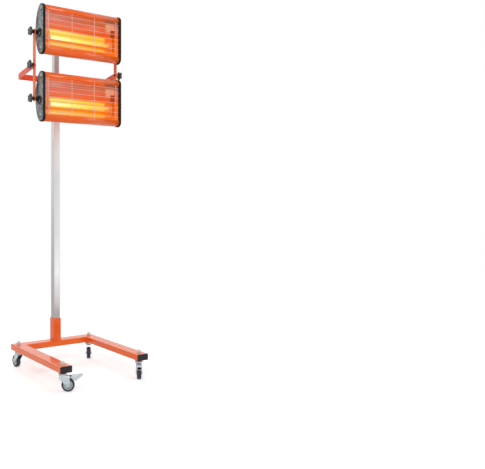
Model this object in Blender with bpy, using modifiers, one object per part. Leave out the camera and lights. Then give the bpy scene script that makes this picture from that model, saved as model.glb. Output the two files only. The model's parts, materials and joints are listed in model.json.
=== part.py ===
"""Infrared paint curing lamp.

Two quartz lamp heads hang in a tilting frame on a telescopic mast, over a U-shaped stand
on four swivel casters. Metres, +Z up. The lamps and the stand's legs face -Y.
"""

import math

import bmesh
import bpy
from mathutils import Matrix, Vector

# Fits
GAP = 0.0003
HOLE_PLAY = 0.0004
OVERRUN = 0.001

# Stand
BASE_WIDTH = 0.400
BASE_DEPTH = 0.436
BASE_TUBE_WIDTH = 0.050
BASE_TUBE_HEIGHT = 0.025
BASE_TUBE_WALL = 0.002
BASE_TUBE_ROUND = 0.003
# The middle of the whole lamp's box lies over the origin, and the stand's own middle here.
BASE_MIDDLE_Y = 0.0107
SOCKET_WALL = 0.003
SOCKET_HEIGHT = 0.098
SOCKET_SCREW_HEIGHT = 0.060
LEG_PLUG_PLATE = 0.003
LEG_PLUG_TONGUE = 0.014

# Casters
WHEEL_RADIUS = 0.025
TYRE_WIDTH = 0.017
TYRE_THICKNESS = 0.0075
HUB_PROUD = 0.0005
HUB_SIDE_PLAY = 0.00075
AXLE_RADIUS = 0.004
CASTER_TRAIL = 0.020
WHEEL_HEADROOM = 0.008
FORK_SHEET = 0.002
FORK_EYE = 0.0075
FORK_BACK = 0.0145
FORK_FRONT = 0.014
FORK_BRAKE_FRONT = 0.026
FORK_SKIRT = 0.010
RACE_RADIUS = 0.016
RACE_HEIGHT = 0.0105
SWIVEL_WASHER = 0.0029
STEM_RADIUS = 0.005
WASHER_RADIUS = 0.011
NUT_ACROSS_FLATS = 0.017
NUT_HEIGHT = 0.0085
NUT_DOME = 0.0075
PEDAL_REACH = 0.0545
PEDAL_RISE = 0.0105
# Each caster: its name, its corner, the way its wheel trails in plan, and whether it has a brake.
CASTERS = (
    ("front_left", (-1, -1), -31.0, True),
    ("front_right", (1, -1), -124.0, True),
    ("rear_left", (-1, 1), 92.0, False),
    ("rear_right", (1, 1), -121.0, False),
)

# Mast
MAST_SIZE = 0.030
MAST_WALL = 0.002
MAST_ROUND = 0.003
MAST_OUTER_LENGTH = 1.0357
MAST_INNER_WALL = 0.0015
MAST_INNER_LENGTH = 0.665
MAST_SHOWN = 0.250
MAST_PLUG_PLATE = 0.004
MAST_PLUG_TONGUE = 0.012
COLLAR_WALL = 0.0047
COLLAR_HEIGHT = 0.036
COLLAR_LIP = 0.004
COLLAR_ROUND = 0.005
COLLAR_BOSS = 0.010
COLLAR_BOSS_RADIUS = 0.009

# Yoke and the bracket that carries it
YOKE_DROP = 0.1565
YOKE_SHEET = 0.003
YOKE_HEIGHT = 0.024
YOKE_SETBACK = 0.0375
YOKE_RISE = 0.0215
YOKE_BEND = 0.006
PIVOT_REACH = 0.1815
BRACKET_HEIGHT = 0.060
BRACKET_WALL = 0.003
BRACKET_ROUND = 0.004
BRACKET_STUB = 0.030
BRACKET_PLATE = 0.090
BOLT_RADIUS = 0.003
BOLT_HEAD_RADIUS = 0.0055
BOLT_HEAD = 0.004
BOLT_INSET = 0.015

# Side bars
PIVOT_SPACING = 0.266
BAR_WIDTH = 0.020
BAR_SHEET = 0.003
BAR_OVERHANG = 0.012

# Star knobs
KNOB_RADIUS = 0.018
KNOB_LOBES = 5
KNOB_LOBE_DEPTH = 0.0022
KNOB_HEAD = 0.009
KNOB_ROUND = 0.002
KNOB_NECK = 0.012
KNOB_NECK_RADIUS = 0.0075
STUD_RADIUS = 0.004
STUD_END = 0.006

# Lamp heads, in a frame whose X axis is the head's own pivot axis
HEAD_LENGTH = 0.370
HEAD_HEIGHT = 0.196
HEAD_FRONT = -0.058
HEAD_BACK = 0.007
HEAD_RISE = 0.0045
HEAD_CORNER = 0.020
HOUSING_SHEET = 0.0012
LIP_HEIGHT = 0.024
CAP_THICKNESS = 0.010
CAP_FACE = 0.004
CAP_MARGIN = 0.002
CAP_ROUND = 0.0012
BOSS_RADIUS = 0.0085
BOSS_LENGTH = 0.0075
DISC_RADIUS = 0.017
DISC_HEIGHT = 0.003
DISC_Y = -0.0275
DISC_Z = -0.008
REFLECTOR_SHEET = 0.0008
REFLECTOR_TUCK = 0.006
REFLECTOR_SINK = 0.0062
TROUGH_SINK = 0.0185
TROUGH_CLEARANCE = 0.0065
TROUGH_MOUTH = 0.030
TROUGH_Z = -0.022
TUBE_Z = -0.018
TUBE_RADIUS = 0.006
TUBE_SUNK = 0.008
CERAMIC_RADIUS = 0.009
CERAMIC_LENGTH = 0.028
HOLDER_PLATE = 0.0012
HOLDER_GAP = 0.019
GRILLE_WIRE = 0.001
GRILLE_SINK = 0.0036
GRILLE_ROWS = 7
GRILLE_ROW_PITCH = 0.020
GRILLE_COLUMNS = 4
GRILLE_COLUMN_PITCH = 0.106
GLAND_INSET = 0.065
GLAND_RADIUS = 0.006
GLAND_BORE = 0.0035
GLAND_LENGTH = 0.016

# Places and sizes that follow from the ones above
REAR_Y = BASE_MIDDLE_Y + BASE_DEPTH / 2
FRONT_Y = BASE_MIDDLE_Y - BASE_DEPTH / 2
HUB_RADIUS = WHEEL_RADIUS - TYRE_THICKNESS
HUB_WIDTH = TYRE_WIDTH + 2 * HUB_PROUD
FORK_GAP = HUB_WIDTH + 2 * HUB_SIDE_PLAY
FORK_CROWN_LOW = 2 * WHEEL_RADIUS + WHEEL_HEADROOM
FORK_CROWN_TOP = FORK_CROWN_LOW + FORK_SHEET
RACE_TOP = FORK_CROWN_TOP + RACE_HEIGHT
CASTER_HEIGHT = RACE_TOP + SWIVEL_WASHER + 2 * GAP
BASE_TOP = CASTER_HEIGHT + BASE_TUBE_HEIGHT
SOCKET_SIZE = MAST_SIZE + 2 * GAP + 2 * SOCKET_WALL
MAST_Y = REAR_Y - BASE_TUBE_WIDTH + SOCKET_SIZE / 2
MAST_OUTER_BOTTOM = BASE_TOP + GAP
MAST_OUTER_TOP = MAST_OUTER_BOTTOM + MAST_OUTER_LENGTH
MAST_INNER_SIZE = MAST_SIZE - 2 * MAST_WALL - 2 * GAP
MAST_INNER_TOP = MAST_OUTER_TOP + MAST_SHOWN
MAST_INNER_BOTTOM = MAST_INNER_TOP - MAST_INNER_LENGTH
MAST_INNER_ROUND = MAST_ROUND - GAP
COLLAR_SIZE = MAST_SIZE + 2 * GAP + 2 * COLLAR_WALL
SLEEVE_BORE = MAST_INNER_SIZE + 2 * GAP
YOKE_CROSSBAR_Z = MAST_INNER_TOP - YOKE_DROP
PIVOT_HEIGHT = YOKE_CROSSBAR_Z + YOKE_RISE
PIVOT_Y = MAST_Y - PIVOT_REACH
BOLT_SPREAD = BRACKET_PLATE - 2 * BOLT_INSET
HEAD_RIGHT = HEAD_LENGTH / 2
HEAD_LEFT = -HEAD_RIGHT
FRAME_HALF_WIDTH = HEAD_RIGHT + BOSS_LENGTH + BAR_SHEET
HEAD_TOP = HEAD_RISE + HEAD_HEIGHT / 2
HEAD_BOTTOM = HEAD_RISE - HEAD_HEIGHT / 2
TROUGH_BACK = HEAD_BACK - TROUGH_CLEARANCE
TROUGH_FRONT = HEAD_FRONT + TROUGH_SINK
TUBE_Y = (TROUGH_BACK + TROUGH_FRONT) / 2
LIT_HALF = HEAD_RIGHT - CAP_FACE - HOLDER_GAP - CERAMIC_LENGTH
GLAND_X = HEAD_RIGHT - GLAND_INSET

# Which side of a sheet its thickness goes to
INWARD = 1.0

ORANGE = ("orange_paint", (0.84, 0.19, 0.03), 0.35, 0.0)
STEEL = ("zinc_steel", (0.72, 0.73, 0.75), 0.35, 1.0)
MAST_SILVER = ("mast_silver", (0.70, 0.71, 0.73), 0.30, 0.9)
BLACK_PLASTIC = ("black_plastic", (0.03, 0.03, 0.035), 0.45, 0.0)
CAP_GREY = ("hammered_grey", (0.12, 0.12, 0.125), 0.5, 0.3)
TYRE_BLACK = ("tyre_rubber", (0.03, 0.05, 0.07), 0.7, 0.0)
HUB_GREY = ("hub_plastic", (0.45, 0.46, 0.48), 0.5, 0.0)
REFLECTOR_METAL = ("polished_reflector", (0.90, 0.72, 0.62), 0.12, 1.0)
QUARTZ = ("glowing_quartz", (1.0, 0.72, 0.25), 0.2, 0.0)
CERAMIC = ("white_ceramic", (0.80, 0.74, 0.66), 0.6, 0.0)


def clear_scene():
    for obj in list(bpy.data.objects):
        bpy.data.objects.remove(obj, do_unlink=True)


def collection(name):
    found = bpy.data.collections.new(name)
    bpy.context.scene.collection.children.link(found)
    return found


def material(look):
    name, colour, roughness, metallic = look
    found = bpy.data.materials.get(name)
    if found is None:
        found = bpy.data.materials.new(name)
        found.use_nodes = True
        shader = found.node_tree.nodes["Principled BSDF"]
        shader.inputs["Base Color"].default_value = (*colour, 1.0)
        shader.inputs["Roughness"].default_value = roughness
        shader.inputs["Metallic"].default_value = metallic
    return found


def finish_solid(form, mesh):
    """Welds a solid's seams and turns its faces outward before it is written to its mesh."""
    bmesh.ops.remove_doubles(form, verts=form.verts, dist=1e-6)
    bmesh.ops.recalc_face_normals(form, faces=form.faces)
    if form.calc_volume(signed=True) < 0:
        bmesh.ops.reverse_faces(form, faces=form.faces)
    form.to_mesh(mesh)
    form.free()


def add_object(name, mesh, look, parent=None, matrix=None):
    """A visible part, placed by its matrix under its parent."""
    obj = bpy.data.objects.new(name, mesh)
    PARTS.objects.link(obj)
    mesh.materials.clear()
    mesh.materials.append(material(look))
    mesh.shade_smooth()
    mesh.set_sharp_from_angle(angle=math.radians(35))
    obj.parent = parent
    if matrix is not None:
        obj.matrix_basis = matrix
    return obj


def add_helper(name, mesh, parent=None, matrix=None):
    """A shape that only cuts or joins another one."""
    obj = bpy.data.objects.new(name, mesh)
    CUTTERS.objects.link(obj)
    obj.hide_render = True
    obj.display_type = "WIRE"
    obj.parent = parent
    if matrix is not None:
        obj.matrix_basis = matrix
    return obj


def add_empty(name, location, turn=0.0, parent=None):
    """A joint's axis, which carries the pieces that move about it."""
    empty = bpy.data.objects.new(name, None)
    PARTS.objects.link(empty)
    empty.empty_display_size = 0.02
    empty.location = location
    empty.rotation_euler = (0.0, 0.0, turn)
    empty.parent = parent
    return empty


def boolean(obj, tool, operation):
    modifier = obj.modifiers.new(operation.title(), "BOOLEAN")
    modifier.operation = operation
    modifier.object = tool
    return modifier


def bevel(obj, width, segments=1):
    modifier = obj.modifiers.new("Bevel", "BEVEL")
    modifier.width = width
    modifier.segments = segments
    modifier.limit_method = "ANGLE"
    modifier.angle_limit = math.radians(50)
    return modifier


def block(name, low, high):
    """A box between two opposite corners."""
    low, high = Vector(low), Vector(high)
    mesh = bpy.data.meshes.new(name)
    form = bmesh.new()
    bmesh.ops.create_cube(form, size=1.0)
    form.transform(Matrix.Translation((low + high) / 2) @ Matrix.Diagonal((*(high - low), 1.0)))
    form.to_mesh(mesh)
    form.free()
    return mesh


def aim(axis):
    """The turn that lays a shape's Z axis along X, Y or -X."""
    return {
        "Z": Matrix.Identity(4),
        "X": Matrix.Rotation(math.pi / 2, 4, "Y"),
        "-X": Matrix.Rotation(-math.pi / 2, 4, "Y"),
        "Y": Matrix.Rotation(-math.pi / 2, 4, "X"),
    }[axis]


def rod(name, radius, start, length, axis="Z", sides=10):
    """A round bar that starts at a point and runs along an axis."""
    mesh = bpy.data.meshes.new(name)
    form = bmesh.new()
    bmesh.ops.create_cone(
        form, cap_ends=True, segments=sides, radius1=radius, radius2=radius, depth=length
    )
    form.transform(Matrix.Translation(start) @ aim(axis) @ Matrix.Translation((0, 0, length / 2)))
    form.to_mesh(mesh)
    form.free()
    return mesh


def joined(name, meshes):
    """One mesh of several separate solids."""
    mesh = bpy.data.meshes.new(name)
    form = bmesh.new()
    for piece in meshes:
        form.from_mesh(piece)
        bpy.data.meshes.remove(piece)
    form.to_mesh(mesh)
    form.free()
    return mesh


def arc(centre, radius, start, end, steps):
    """Points of an arc in degrees, both ends included."""
    points = []
    for step in range(steps + 1):
        angle = math.radians(start + (end - start) * step / steps)
        points.append(
            (centre[0] + radius * math.cos(angle), centre[1] + radius * math.sin(angle))
        )
    return points


def circle(centre, radius, sides=16):
    return arc(centre, radius, 0, 360 * (sides - 1) / sides, sides - 1)


def rounded_rectangle(width, height, radius, steps=3):
    x, y = width / 2 - radius, height / 2 - radius
    outline = []
    for turn, corner in enumerate(((x, y), (-x, y), (-x, -y), (x, -y))):
        outline += arc(corner, radius, 90 * turn, 90 * turn + 90, steps)
    return outline


def prism(name, outlines, low, high, axis="Z"):
    """Flat outlines filled and given a thickness.

    Along Z the outline is (x, y), along X it is (y, z) and along Y it is (x, z).
    """
    curve = bpy.data.curves.new(name, "CURVE")
    curve.dimensions = "2D"
    curve.fill_mode = "BOTH"
    curve.extrude = (high - low) / 2
    for outline in outlines:
        spline = curve.splines.new("POLY")
        spline.points.add(len(outline) - 1)
        for point, (across, up) in zip(spline.points, outline):
            point.co = (across, up, 0.0, 1.0)
        spline.use_cyclic_u = True
    guide = bpy.data.objects.new(name, curve)
    CUTTERS.objects.link(guide)
    graph = bpy.context.evaluated_depsgraph_get()
    mesh = bpy.data.meshes.new_from_object(guide.evaluated_get(graph))
    bpy.data.objects.remove(guide, do_unlink=True)
    bpy.data.curves.remove(curve)
    lay = {
        "Z": Matrix.Identity(4),
        "X": Matrix(((0, 0, 1, 0), (1, 0, 0, 0), (0, 1, 0, 0), (0, 0, 0, 1))),
        "Y": Matrix(((1, 0, 0, 0), (0, 0, 1, 0), (0, 1, 0, 0), (0, 0, 0, 1))),
    }[axis]
    form = bmesh.new()
    form.from_mesh(mesh)
    form.transform(lay @ Matrix.Translation((0, 0, (low + high) / 2)))
    finish_solid(form, mesh)
    return mesh


def turned(name, profile, steps=24):
    """A solid turned about Z from points (radius, height) that run from the top down."""
    mesh = bpy.data.meshes.new(name)
    form = bmesh.new()
    corners = [form.verts.new((radius, 0.0, height)) for radius, height in profile]
    for upper, lower in zip(corners, corners[1:]):
        form.edges.new((upper, lower))
    if profile[0][0] > 0:
        form.edges.new((corners[-1], corners[0]))
    form.to_mesh(mesh)
    form.free()
    guide = bpy.data.objects.new(name, mesh)
    CUTTERS.objects.link(guide)
    screw = guide.modifiers.new("Screw", "SCREW")
    screw.steps = steps
    screw.render_steps = steps
    screw.use_merge_vertices = True
    screw.merge_threshold = 0.00001
    graph = bpy.context.evaluated_depsgraph_get()
    solid = bpy.data.meshes.new_from_object(guide.evaluated_get(graph))
    bpy.data.objects.remove(guide, do_unlink=True)
    bpy.data.meshes.remove(mesh)
    form = bmesh.new()
    form.from_mesh(solid)
    finish_solid(form, solid)
    return solid


def corner_of_base(side):
    """The axis of the caster under one corner of the stand."""
    across, along = side
    inset = BASE_TUBE_WIDTH / 2
    return (
        across * (BASE_WIDTH / 2 - inset),
        BASE_MIDDLE_Y + along * (BASE_DEPTH / 2 - inset),
    )


def long_edges(obj):
    """Marks a leg's four long edges, so that only they are rounded."""
    layer = obj.data.attributes.new("bevel_weight_edge", "FLOAT", "EDGE")
    for edge in obj.data.edges:
        start, end = (obj.data.vertices[index].co for index in edge.vertices)
        layer.data[edge.index].value = float(abs(start.y - end.y) > BASE_TUBE_WIDTH)


def base_legs(frame, inner_y):
    """Joins the two legs to the crossbar."""
    half = BASE_WIDTH / 2
    for side in (-1, 1):
        edges = sorted((side * half, side * (half - BASE_TUBE_WIDTH)))
        low = (edges[0], FRONT_Y, CASTER_HEIGHT)
        high = (edges[1], inner_y + BASE_TUBE_ROUND, BASE_TOP)
        leg = add_helper(f"leg_{side}", block("leg", low, high))
        bevel(leg, BASE_TUBE_ROUND, 2).limit_method = "WEIGHT"
        long_edges(leg)
        boolean(frame, leg, "UNION")


def hollow_base(frame, inner_y):
    """Cuts the space inside the crossbar and the legs, which are open at their front ends."""
    wall = BASE_TUBE_WALL
    half = BASE_WIDTH / 2 - wall
    bottom, top = CASTER_HEIGHT + wall, BASE_TOP - wall
    inside = block("hollow", (-half, inner_y + wall, bottom), (half, REAR_Y - wall, top))
    boolean(frame, add_helper("crossbar_hollow", inside), "DIFFERENCE")
    for side in (-1, 1):
        edges = sorted((side * half, side * (BASE_WIDTH / 2 - BASE_TUBE_WIDTH + wall)))
        low = (edges[0], FRONT_Y - OVERRUN, bottom)
        high = (edges[1], inner_y + 2 * wall, top)
        boolean(frame, add_helper(f"leg_hollow_{side}", block("hollow", low, high)), "DIFFERENCE")


def make_socket_screw():
    """The screw through the socket's rear wall that holds the mast."""
    head_radius, head, shank = 0.0065, 0.006, 0.006
    profile = [
        (0.0, head),
        (head_radius, head),
        (head_radius, 0.0),
        (STUD_RADIUS, 0.0),
        (STUD_RADIUS, -shank),
        (0.0, -shank),
    ]
    return turned("socket_screw", profile, 10)


def make_base_frame():
    """A crossbar and two legs of rectangular tube, open inside, with the mast's socket."""
    half = BASE_WIDTH / 2
    inner_y = REAR_Y - BASE_TUBE_WIDTH
    crossbar = block("crossbar", (-half, inner_y, CASTER_HEIGHT), (half, REAR_Y, BASE_TOP))
    frame = add_object("base_frame", crossbar, ORANGE)
    bevel(frame, BASE_TUBE_ROUND, 2)
    base_legs(frame, inner_y)

    on_axis = Matrix.Translation((0, MAST_Y, 0))
    socket_top = BASE_TOP + SOCKET_HEIGHT
    outside = [rounded_rectangle(SOCKET_SIZE, SOCKET_SIZE, MAST_ROUND)]
    socket = prism("socket", outside, BASE_TOP - BASE_TUBE_WALL, socket_top)
    boolean(frame, add_helper("socket_outside", socket, matrix=on_axis), "UNION")
    hollow_base(frame, inner_y)
    bore = MAST_SIZE + 2 * GAP
    inside = [rounded_rectangle(bore, bore, MAST_ROUND)]
    mast_hole = prism("socket_hollow", inside, BASE_TOP, socket_top + OVERRUN)
    boolean(frame, add_helper("socket_hollow", mast_hole, matrix=on_axis), "DIFFERENCE")

    seat = (0, MAST_Y + SOCKET_SIZE / 2 - GAP, BASE_TOP + SOCKET_SCREW_HEIGHT)
    screw_place = Matrix.Translation(seat) @ aim("Y")
    boolean(frame, add_helper("socket_screw", make_socket_screw(), matrix=screw_place), "UNION")
    low, through = CASTER_HEIGHT - OVERRUN, BASE_TUBE_HEIGHT + 2 * OVERRUN
    stem_holes = [
        rod("stem_hole", STEM_RADIUS + HOLE_PLAY, (*corner_of_base(side), low), through)
        for _, side, _, _ in CASTERS
    ]
    boolean(frame, add_helper("stem_holes", joined("stem_holes", stem_holes)), "DIFFERENCE")


def make_leg_end_plugs():
    """A push-in plug in the open end of each leg."""
    edge_round = 0.0008
    inside_width = BASE_TUBE_WIDTH - 2 * BASE_TUBE_WALL - 2 * GAP
    inside_height = BASE_TUBE_HEIGHT - 2 * BASE_TUBE_WALL - 2 * GAP
    middle = CASTER_HEIGHT + BASE_TUBE_HEIGHT / 2
    reach = BASE_WIDTH / 2 - BASE_TUBE_WIDTH / 2
    outline = [rounded_rectangle(BASE_TUBE_WIDTH, BASE_TUBE_HEIGHT, BASE_TUBE_ROUND)]
    back = FRONT_Y - GAP
    for side, name in ((-1, "left"), (1, "right")):
        place = Matrix.Translation((side * reach, 0, middle))
        face = prism("plug_face", outline, back - LEG_PLUG_PLATE, back, "Y")
        low = (-inside_width / 2, back - LEG_PLUG_PLATE / 2, -inside_height / 2)
        high = (inside_width / 2, FRONT_Y + LEG_PLUG_TONGUE, inside_height / 2)
        tongue = add_helper(f"plug_tongue_{name}", block("plug_tongue", low, high), matrix=place)
        plug = add_object(f"leg_end_plug_{name}", face, BLACK_PLASTIC, matrix=place)
        bevel(plug, edge_round)
        boolean(plug, tongue, "UNION")


def make_caster_stem(name, place):
    """The bolt that a caster turns on, with its acorn nut on top of the tube."""
    head_radius, head, washer = 0.008, 0.004, 0.0015
    dome_share = 0.47
    seat = BASE_TOP + GAP
    head_top = FORK_CROWN_LOW - GAP
    profile = [
        (0.0, seat + washer),
        (WASHER_RADIUS, seat + washer),
        (WASHER_RADIUS, seat),
        (STEM_RADIUS, seat),
        (STEM_RADIUS, CASTER_HEIGHT - GAP),
        (WASHER_RADIUS, CASTER_HEIGHT - GAP),
        (WASHER_RADIUS, RACE_TOP + GAP),
        (STEM_RADIUS, RACE_TOP + GAP),
        (STEM_RADIUS, head_top),
        (head_radius, head_top),
        (head_radius, head_top - head),
        (0.0, head_top - head),
    ]
    stem = add_object(f"caster_stem_{name}", turned("stem", profile, 8), STEEL, matrix=place)

    across_corners = NUT_ACROSS_FLATS / math.sqrt(3)
    hexagon = rod("acorn_hexagon", across_corners, (0, 0, seat + washer / 2), NUT_HEIGHT, sides=6)
    boolean(stem, add_helper(f"acorn_hexagon_{name}", hexagon, matrix=place), "UNION")

    radius = NUT_ACROSS_FLATS * dome_share
    base = seat + NUT_HEIGHT
    quarter = arc((0, 0), 1, 90, 0, 3)[1:]
    curve = [(0.0, base + NUT_DOME)]
    curve += [(radius * across, base + NUT_DOME * up) for across, up in quarter]
    curve += [(radius, base - washer), (0.0, base - washer)]
    dome = turned("acorn_dome", curve, 8)
    boolean(stem, add_helper(f"acorn_dome_{name}", dome, matrix=place), "UNION")


def fork_cheek(front):
    """The side outline of a fork, in its own frame: X runs along the trail, Z up."""
    eye = (CASTER_TRAIL, WHEEL_RADIUS)
    top = FORK_CROWN_TOP
    return [
        (-FORK_BACK, top),
        (-FORK_BACK, top - FORK_SKIRT),
        *arc(eye, FORK_EYE, 215, 370, 5),
        (front, top - FORK_SKIRT),
        (front, top),
    ]


def make_race():
    """The dished cover of the fork's ball race."""
    shoulder, drop = 0.005, 0.0035
    shoulder_share, drop_share = 0.4, 0.7
    foot = FORK_CROWN_LOW + FORK_SHEET / 2
    profile = [
        (0.0, RACE_TOP),
        (RACE_RADIUS - shoulder, RACE_TOP),
        (RACE_RADIUS - shoulder * shoulder_share, RACE_TOP - drop * drop_share),
        (RACE_RADIUS, RACE_TOP - drop),
        (RACE_RADIUS, foot),
        (0.0, foot),
    ]
    return turned("race", profile, 10)


def make_fork(name, swivel, brake):
    """A pressed fork: two cheeks, a crown and the dished race that turns under the tube."""
    half = FORK_GAP / 2
    outer = half + FORK_SHEET
    front = FORK_BRAKE_FRONT if brake else FORK_FRONT
    cheek = fork_cheek(front)
    fork = add_object(name, prism("cheek", [cheek], -outer, -half, "Y"), STEEL, swivel)
    other = prism("cheek", [cheek], half, outer, "Y")
    boolean(fork, add_helper(f"{name}_cheek", other, swivel), "UNION")
    crown = block("crown", (-FORK_BACK, -outer, FORK_CROWN_LOW), (front, outer, FORK_CROWN_TOP))
    boolean(fork, add_helper(f"{name}_crown", crown, swivel), "UNION")
    boolean(fork, add_helper(f"{name}_race", make_race(), swivel), "UNION")

    low, through = FORK_CROWN_LOW - OVERRUN, RACE_TOP - FORK_CROWN_LOW + 2 * OVERRUN
    stem_hole = rod("stem_hole", STEM_RADIUS + HOLE_PLAY, (0, 0, low), through)
    boolean(fork, add_helper(f"{name}_stem_hole", stem_hole, swivel), "DIFFERENCE")
    start = (CASTER_TRAIL, -outer - OVERRUN, WHEEL_RADIUS)
    axle_hole = rod("axle_hole", AXLE_RADIUS + HOLE_PLAY, start, 2 * (outer + OVERRUN), "Y", 8)
    boolean(fork, add_helper(f"{name}_axle_hole", axle_hole, swivel), "DIFFERENCE")


def wheel_axis():
    return Matrix.Translation((CASTER_TRAIL, 0, WHEEL_RADIUS)) @ aim("Y")


def make_wheel(name, swivel):
    """A rubber tyre on a plastic hub, turned about the axle."""
    half = TYRE_WIDTH / 2
    shoulder = 0.0035
    bead = HUB_RADIUS + GAP
    profile = [
        (bead, half),
        (WHEEL_RADIUS - shoulder, half),
        (WHEEL_RADIUS, half - shoulder),
        (WHEEL_RADIUS, shoulder - half),
        (WHEEL_RADIUS - shoulder, -half),
        (bead, -half),
    ]
    add_object(f"caster_tyre_{name}", turned("tyre", profile, 24), TYRE_BLACK, swivel, wheel_axis())

    boss = HUB_WIDTH / 2
    boss_radius, bore = 0.0075, AXLE_RADIUS + HOLE_PLAY
    rim, half_web, chamfer = 0.0025, 0.004, 0.001
    profile = [
        (bore, boss),
        (boss_radius, boss),
        (boss_radius, half_web),
        (HUB_RADIUS - rim, half_web),
        (HUB_RADIUS, half - chamfer),
        (HUB_RADIUS, chamfer - half),
        (HUB_RADIUS - rim, -half_web),
        (boss_radius, -half_web),
        (boss_radius, -boss),
        (bore, -boss),
    ]
    add_object(f"caster_hub_{name}", turned("hub", profile, 14), HUB_GREY, swivel, wheel_axis())


def make_axle(name, swivel):
    """The riveted axle, with a head outside each cheek."""
    head_radius, head = 0.006, 0.002
    end = FORK_GAP / 2 + FORK_SHEET + GAP
    profile = [
        (0.0, end + head),
        (head_radius, end + head),
        (head_radius, end),
        (AXLE_RADIUS, end),
        (AXLE_RADIUS, -end),
        (head_radius, -end),
        (head_radius, -end - head),
        (0.0, -end - head),
    ]
    add_object(f"caster_axle_{name}", turned("axle", profile, 8), STEEL, swivel, wheel_axis())


def make_brake_pedal(name, swivel):
    """A pressed lever that rises over the wheel. Trodden down, its shoe comes close to the tyre."""
    lift, chamfer, edge_round = 0.0015, 0.0015, 0.0006
    heel, knee, crest = -0.005, 0.012, 0.030
    shoe_near, shoe_middle, shoe_far, shoe_drop = 0.0233, 0.0265, 0.0357, 0.0095
    near_rise, far_rise, crest_rise, lip = 0.001, 0.0035, 0.0125, 0.006
    half = FORK_GAP / 2 - GAP
    wheel_top = 2 * WHEEL_RADIUS
    top = FORK_CROWN_LOW - OVERRUN - wheel_top
    tip_top = PEDAL_RISE + lip
    side = [
        (heel, lift),
        (knee, lift),
        (shoe_near, near_rise - shoe_drop),
        (shoe_middle, -shoe_drop),
        (shoe_far, far_rise - shoe_drop),
        (PEDAL_REACH, PEDAL_RISE),
        (PEDAL_REACH, tip_top - chamfer),
        (PEDAL_REACH - chamfer, tip_top),
        (crest, crest_rise),
        (knee, top),
        (heel, top),
    ]
    lever = [(CASTER_TRAIL + along, wheel_top + up) for along, up in side]
    pedal = add_object(name, prism("pedal", [lever], -half, half, "Y"), STEEL, swivel)
    bevel(pedal, edge_round)


def make_casters():
    for name, side, trail, brake in CASTERS:
        x, y = corner_of_base(side)
        make_caster_stem(name, Matrix.Translation((x, y, 0)))
        swivel = add_empty(f"swivel_{name}", (x, y, 0), math.radians(trail))
        make_fork(f"caster_fork_{name}", swivel, brake)
        make_axle(name, swivel)
        make_wheel(name, swivel)
        if brake:
            make_brake_pedal(f"brake_pedal_{name}", swivel)


def square_tube(name, size, wall, corner, low, high):
    inner = size - 2 * wall
    outlines = [rounded_rectangle(size, size, corner)]
    outlines.append(rounded_rectangle(inner, inner, corner - wall))
    return prism(name, outlines, low, high)


def make_mast_outer(on_axis, clamp_z):
    """The fixed tube, with holes for the clamp's stud and the socket's screw."""
    tube = square_tube(
        "mast_outer", MAST_SIZE, MAST_WALL, MAST_ROUND, MAST_OUTER_BOTTOM, MAST_OUTER_TOP
    )
    outer = add_object("mast_outer", tube, MAST_SILVER, matrix=on_axis)
    start = MAST_SIZE / 2 - MAST_WALL - OVERRUN
    through = MAST_WALL + 2 * OVERRUN
    holes = [
        rod("hole", STUD_RADIUS + HOLE_PLAY, (0, start, height), through, "Y")
        for height in (clamp_z, BASE_TOP + SOCKET_SCREW_HEIGHT)
    ]
    boolean(outer, add_helper("mast_holes", joined("holes", holes), matrix=on_axis), "DIFFERENCE")


def make_collar(on_axis, clamp_z):
    """The clamp collar on the outer tube's top, with its lip round the inner tube."""
    high = MAST_OUTER_TOP + COLLAR_LIP
    low = high - COLLAR_HEIGHT
    body = prism("collar", [rounded_rectangle(COLLAR_SIZE, COLLAR_SIZE, COLLAR_ROUND)], low, high)
    collar = add_object("mast_collar", body, BLACK_PLASTIC, matrix=on_axis)
    root = COLLAR_SIZE / 2 - OVERRUN
    boss = rod("boss", COLLAR_BOSS_RADIUS, (0, root, clamp_z), COLLAR_BOSS + OVERRUN, "Y")
    boolean(collar, add_helper("collar_boss", boss, matrix=on_axis), "UNION")

    around_outer = MAST_SIZE + 2 * GAP
    bore = [rounded_rectangle(around_outer, around_outer, MAST_ROUND)]
    tube_cut = prism("collar_cut", bore, low - OVERRUN, MAST_OUTER_TOP + GAP)
    stud_cut = rod("collar_cut", STUD_RADIUS + HOLE_PLAY, (0, 0, clamp_z), COLLAR_SIZE, "Y")
    mouth = [rounded_rectangle(SLEEVE_BORE, SLEEVE_BORE, MAST_ROUND / 2)]
    mouth_cut = prism("collar_cut", mouth, low, high + OVERRUN)
    for name, cut in (("tube", tube_cut), ("stud", stud_cut), ("mouth", mouth_cut)):
        boolean(collar, add_helper(f"collar_{name}_cut", cut, matrix=on_axis), "DIFFERENCE")


def make_mast_inner(slide):
    """The sliding tube and the plug in its top."""
    edge_round = 0.001
    size, inside = MAST_INNER_SIZE, MAST_INNER_SIZE - 2 * MAST_INNER_WALL - 2 * GAP
    tube = square_tube(
        "mast_inner", size, MAST_INNER_WALL, MAST_INNER_ROUND, MAST_INNER_BOTTOM, MAST_INNER_TOP
    )
    add_object("mast_inner", tube, MAST_SILVER, slide)
    outline = [rounded_rectangle(size, size, MAST_INNER_ROUND)]
    top = MAST_INNER_TOP + MAST_PLUG_PLATE
    plate = prism("plug_top", outline, MAST_INNER_TOP + GAP, top)
    plug = add_object("mast_top_plug", plate, BLACK_PLASTIC, slide)
    bevel(plug, edge_round)
    tongue_outline = [rounded_rectangle(inside, inside, MAST_ROUND / 2)]
    tongue = prism(
        "plug_tongue", tongue_outline, MAST_INNER_TOP - MAST_PLUG_TONGUE, top - MAST_PLUG_PLATE / 2
    )
    boolean(plug, add_helper("mast_plug_tongue", tongue, slide), "UNION")


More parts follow.
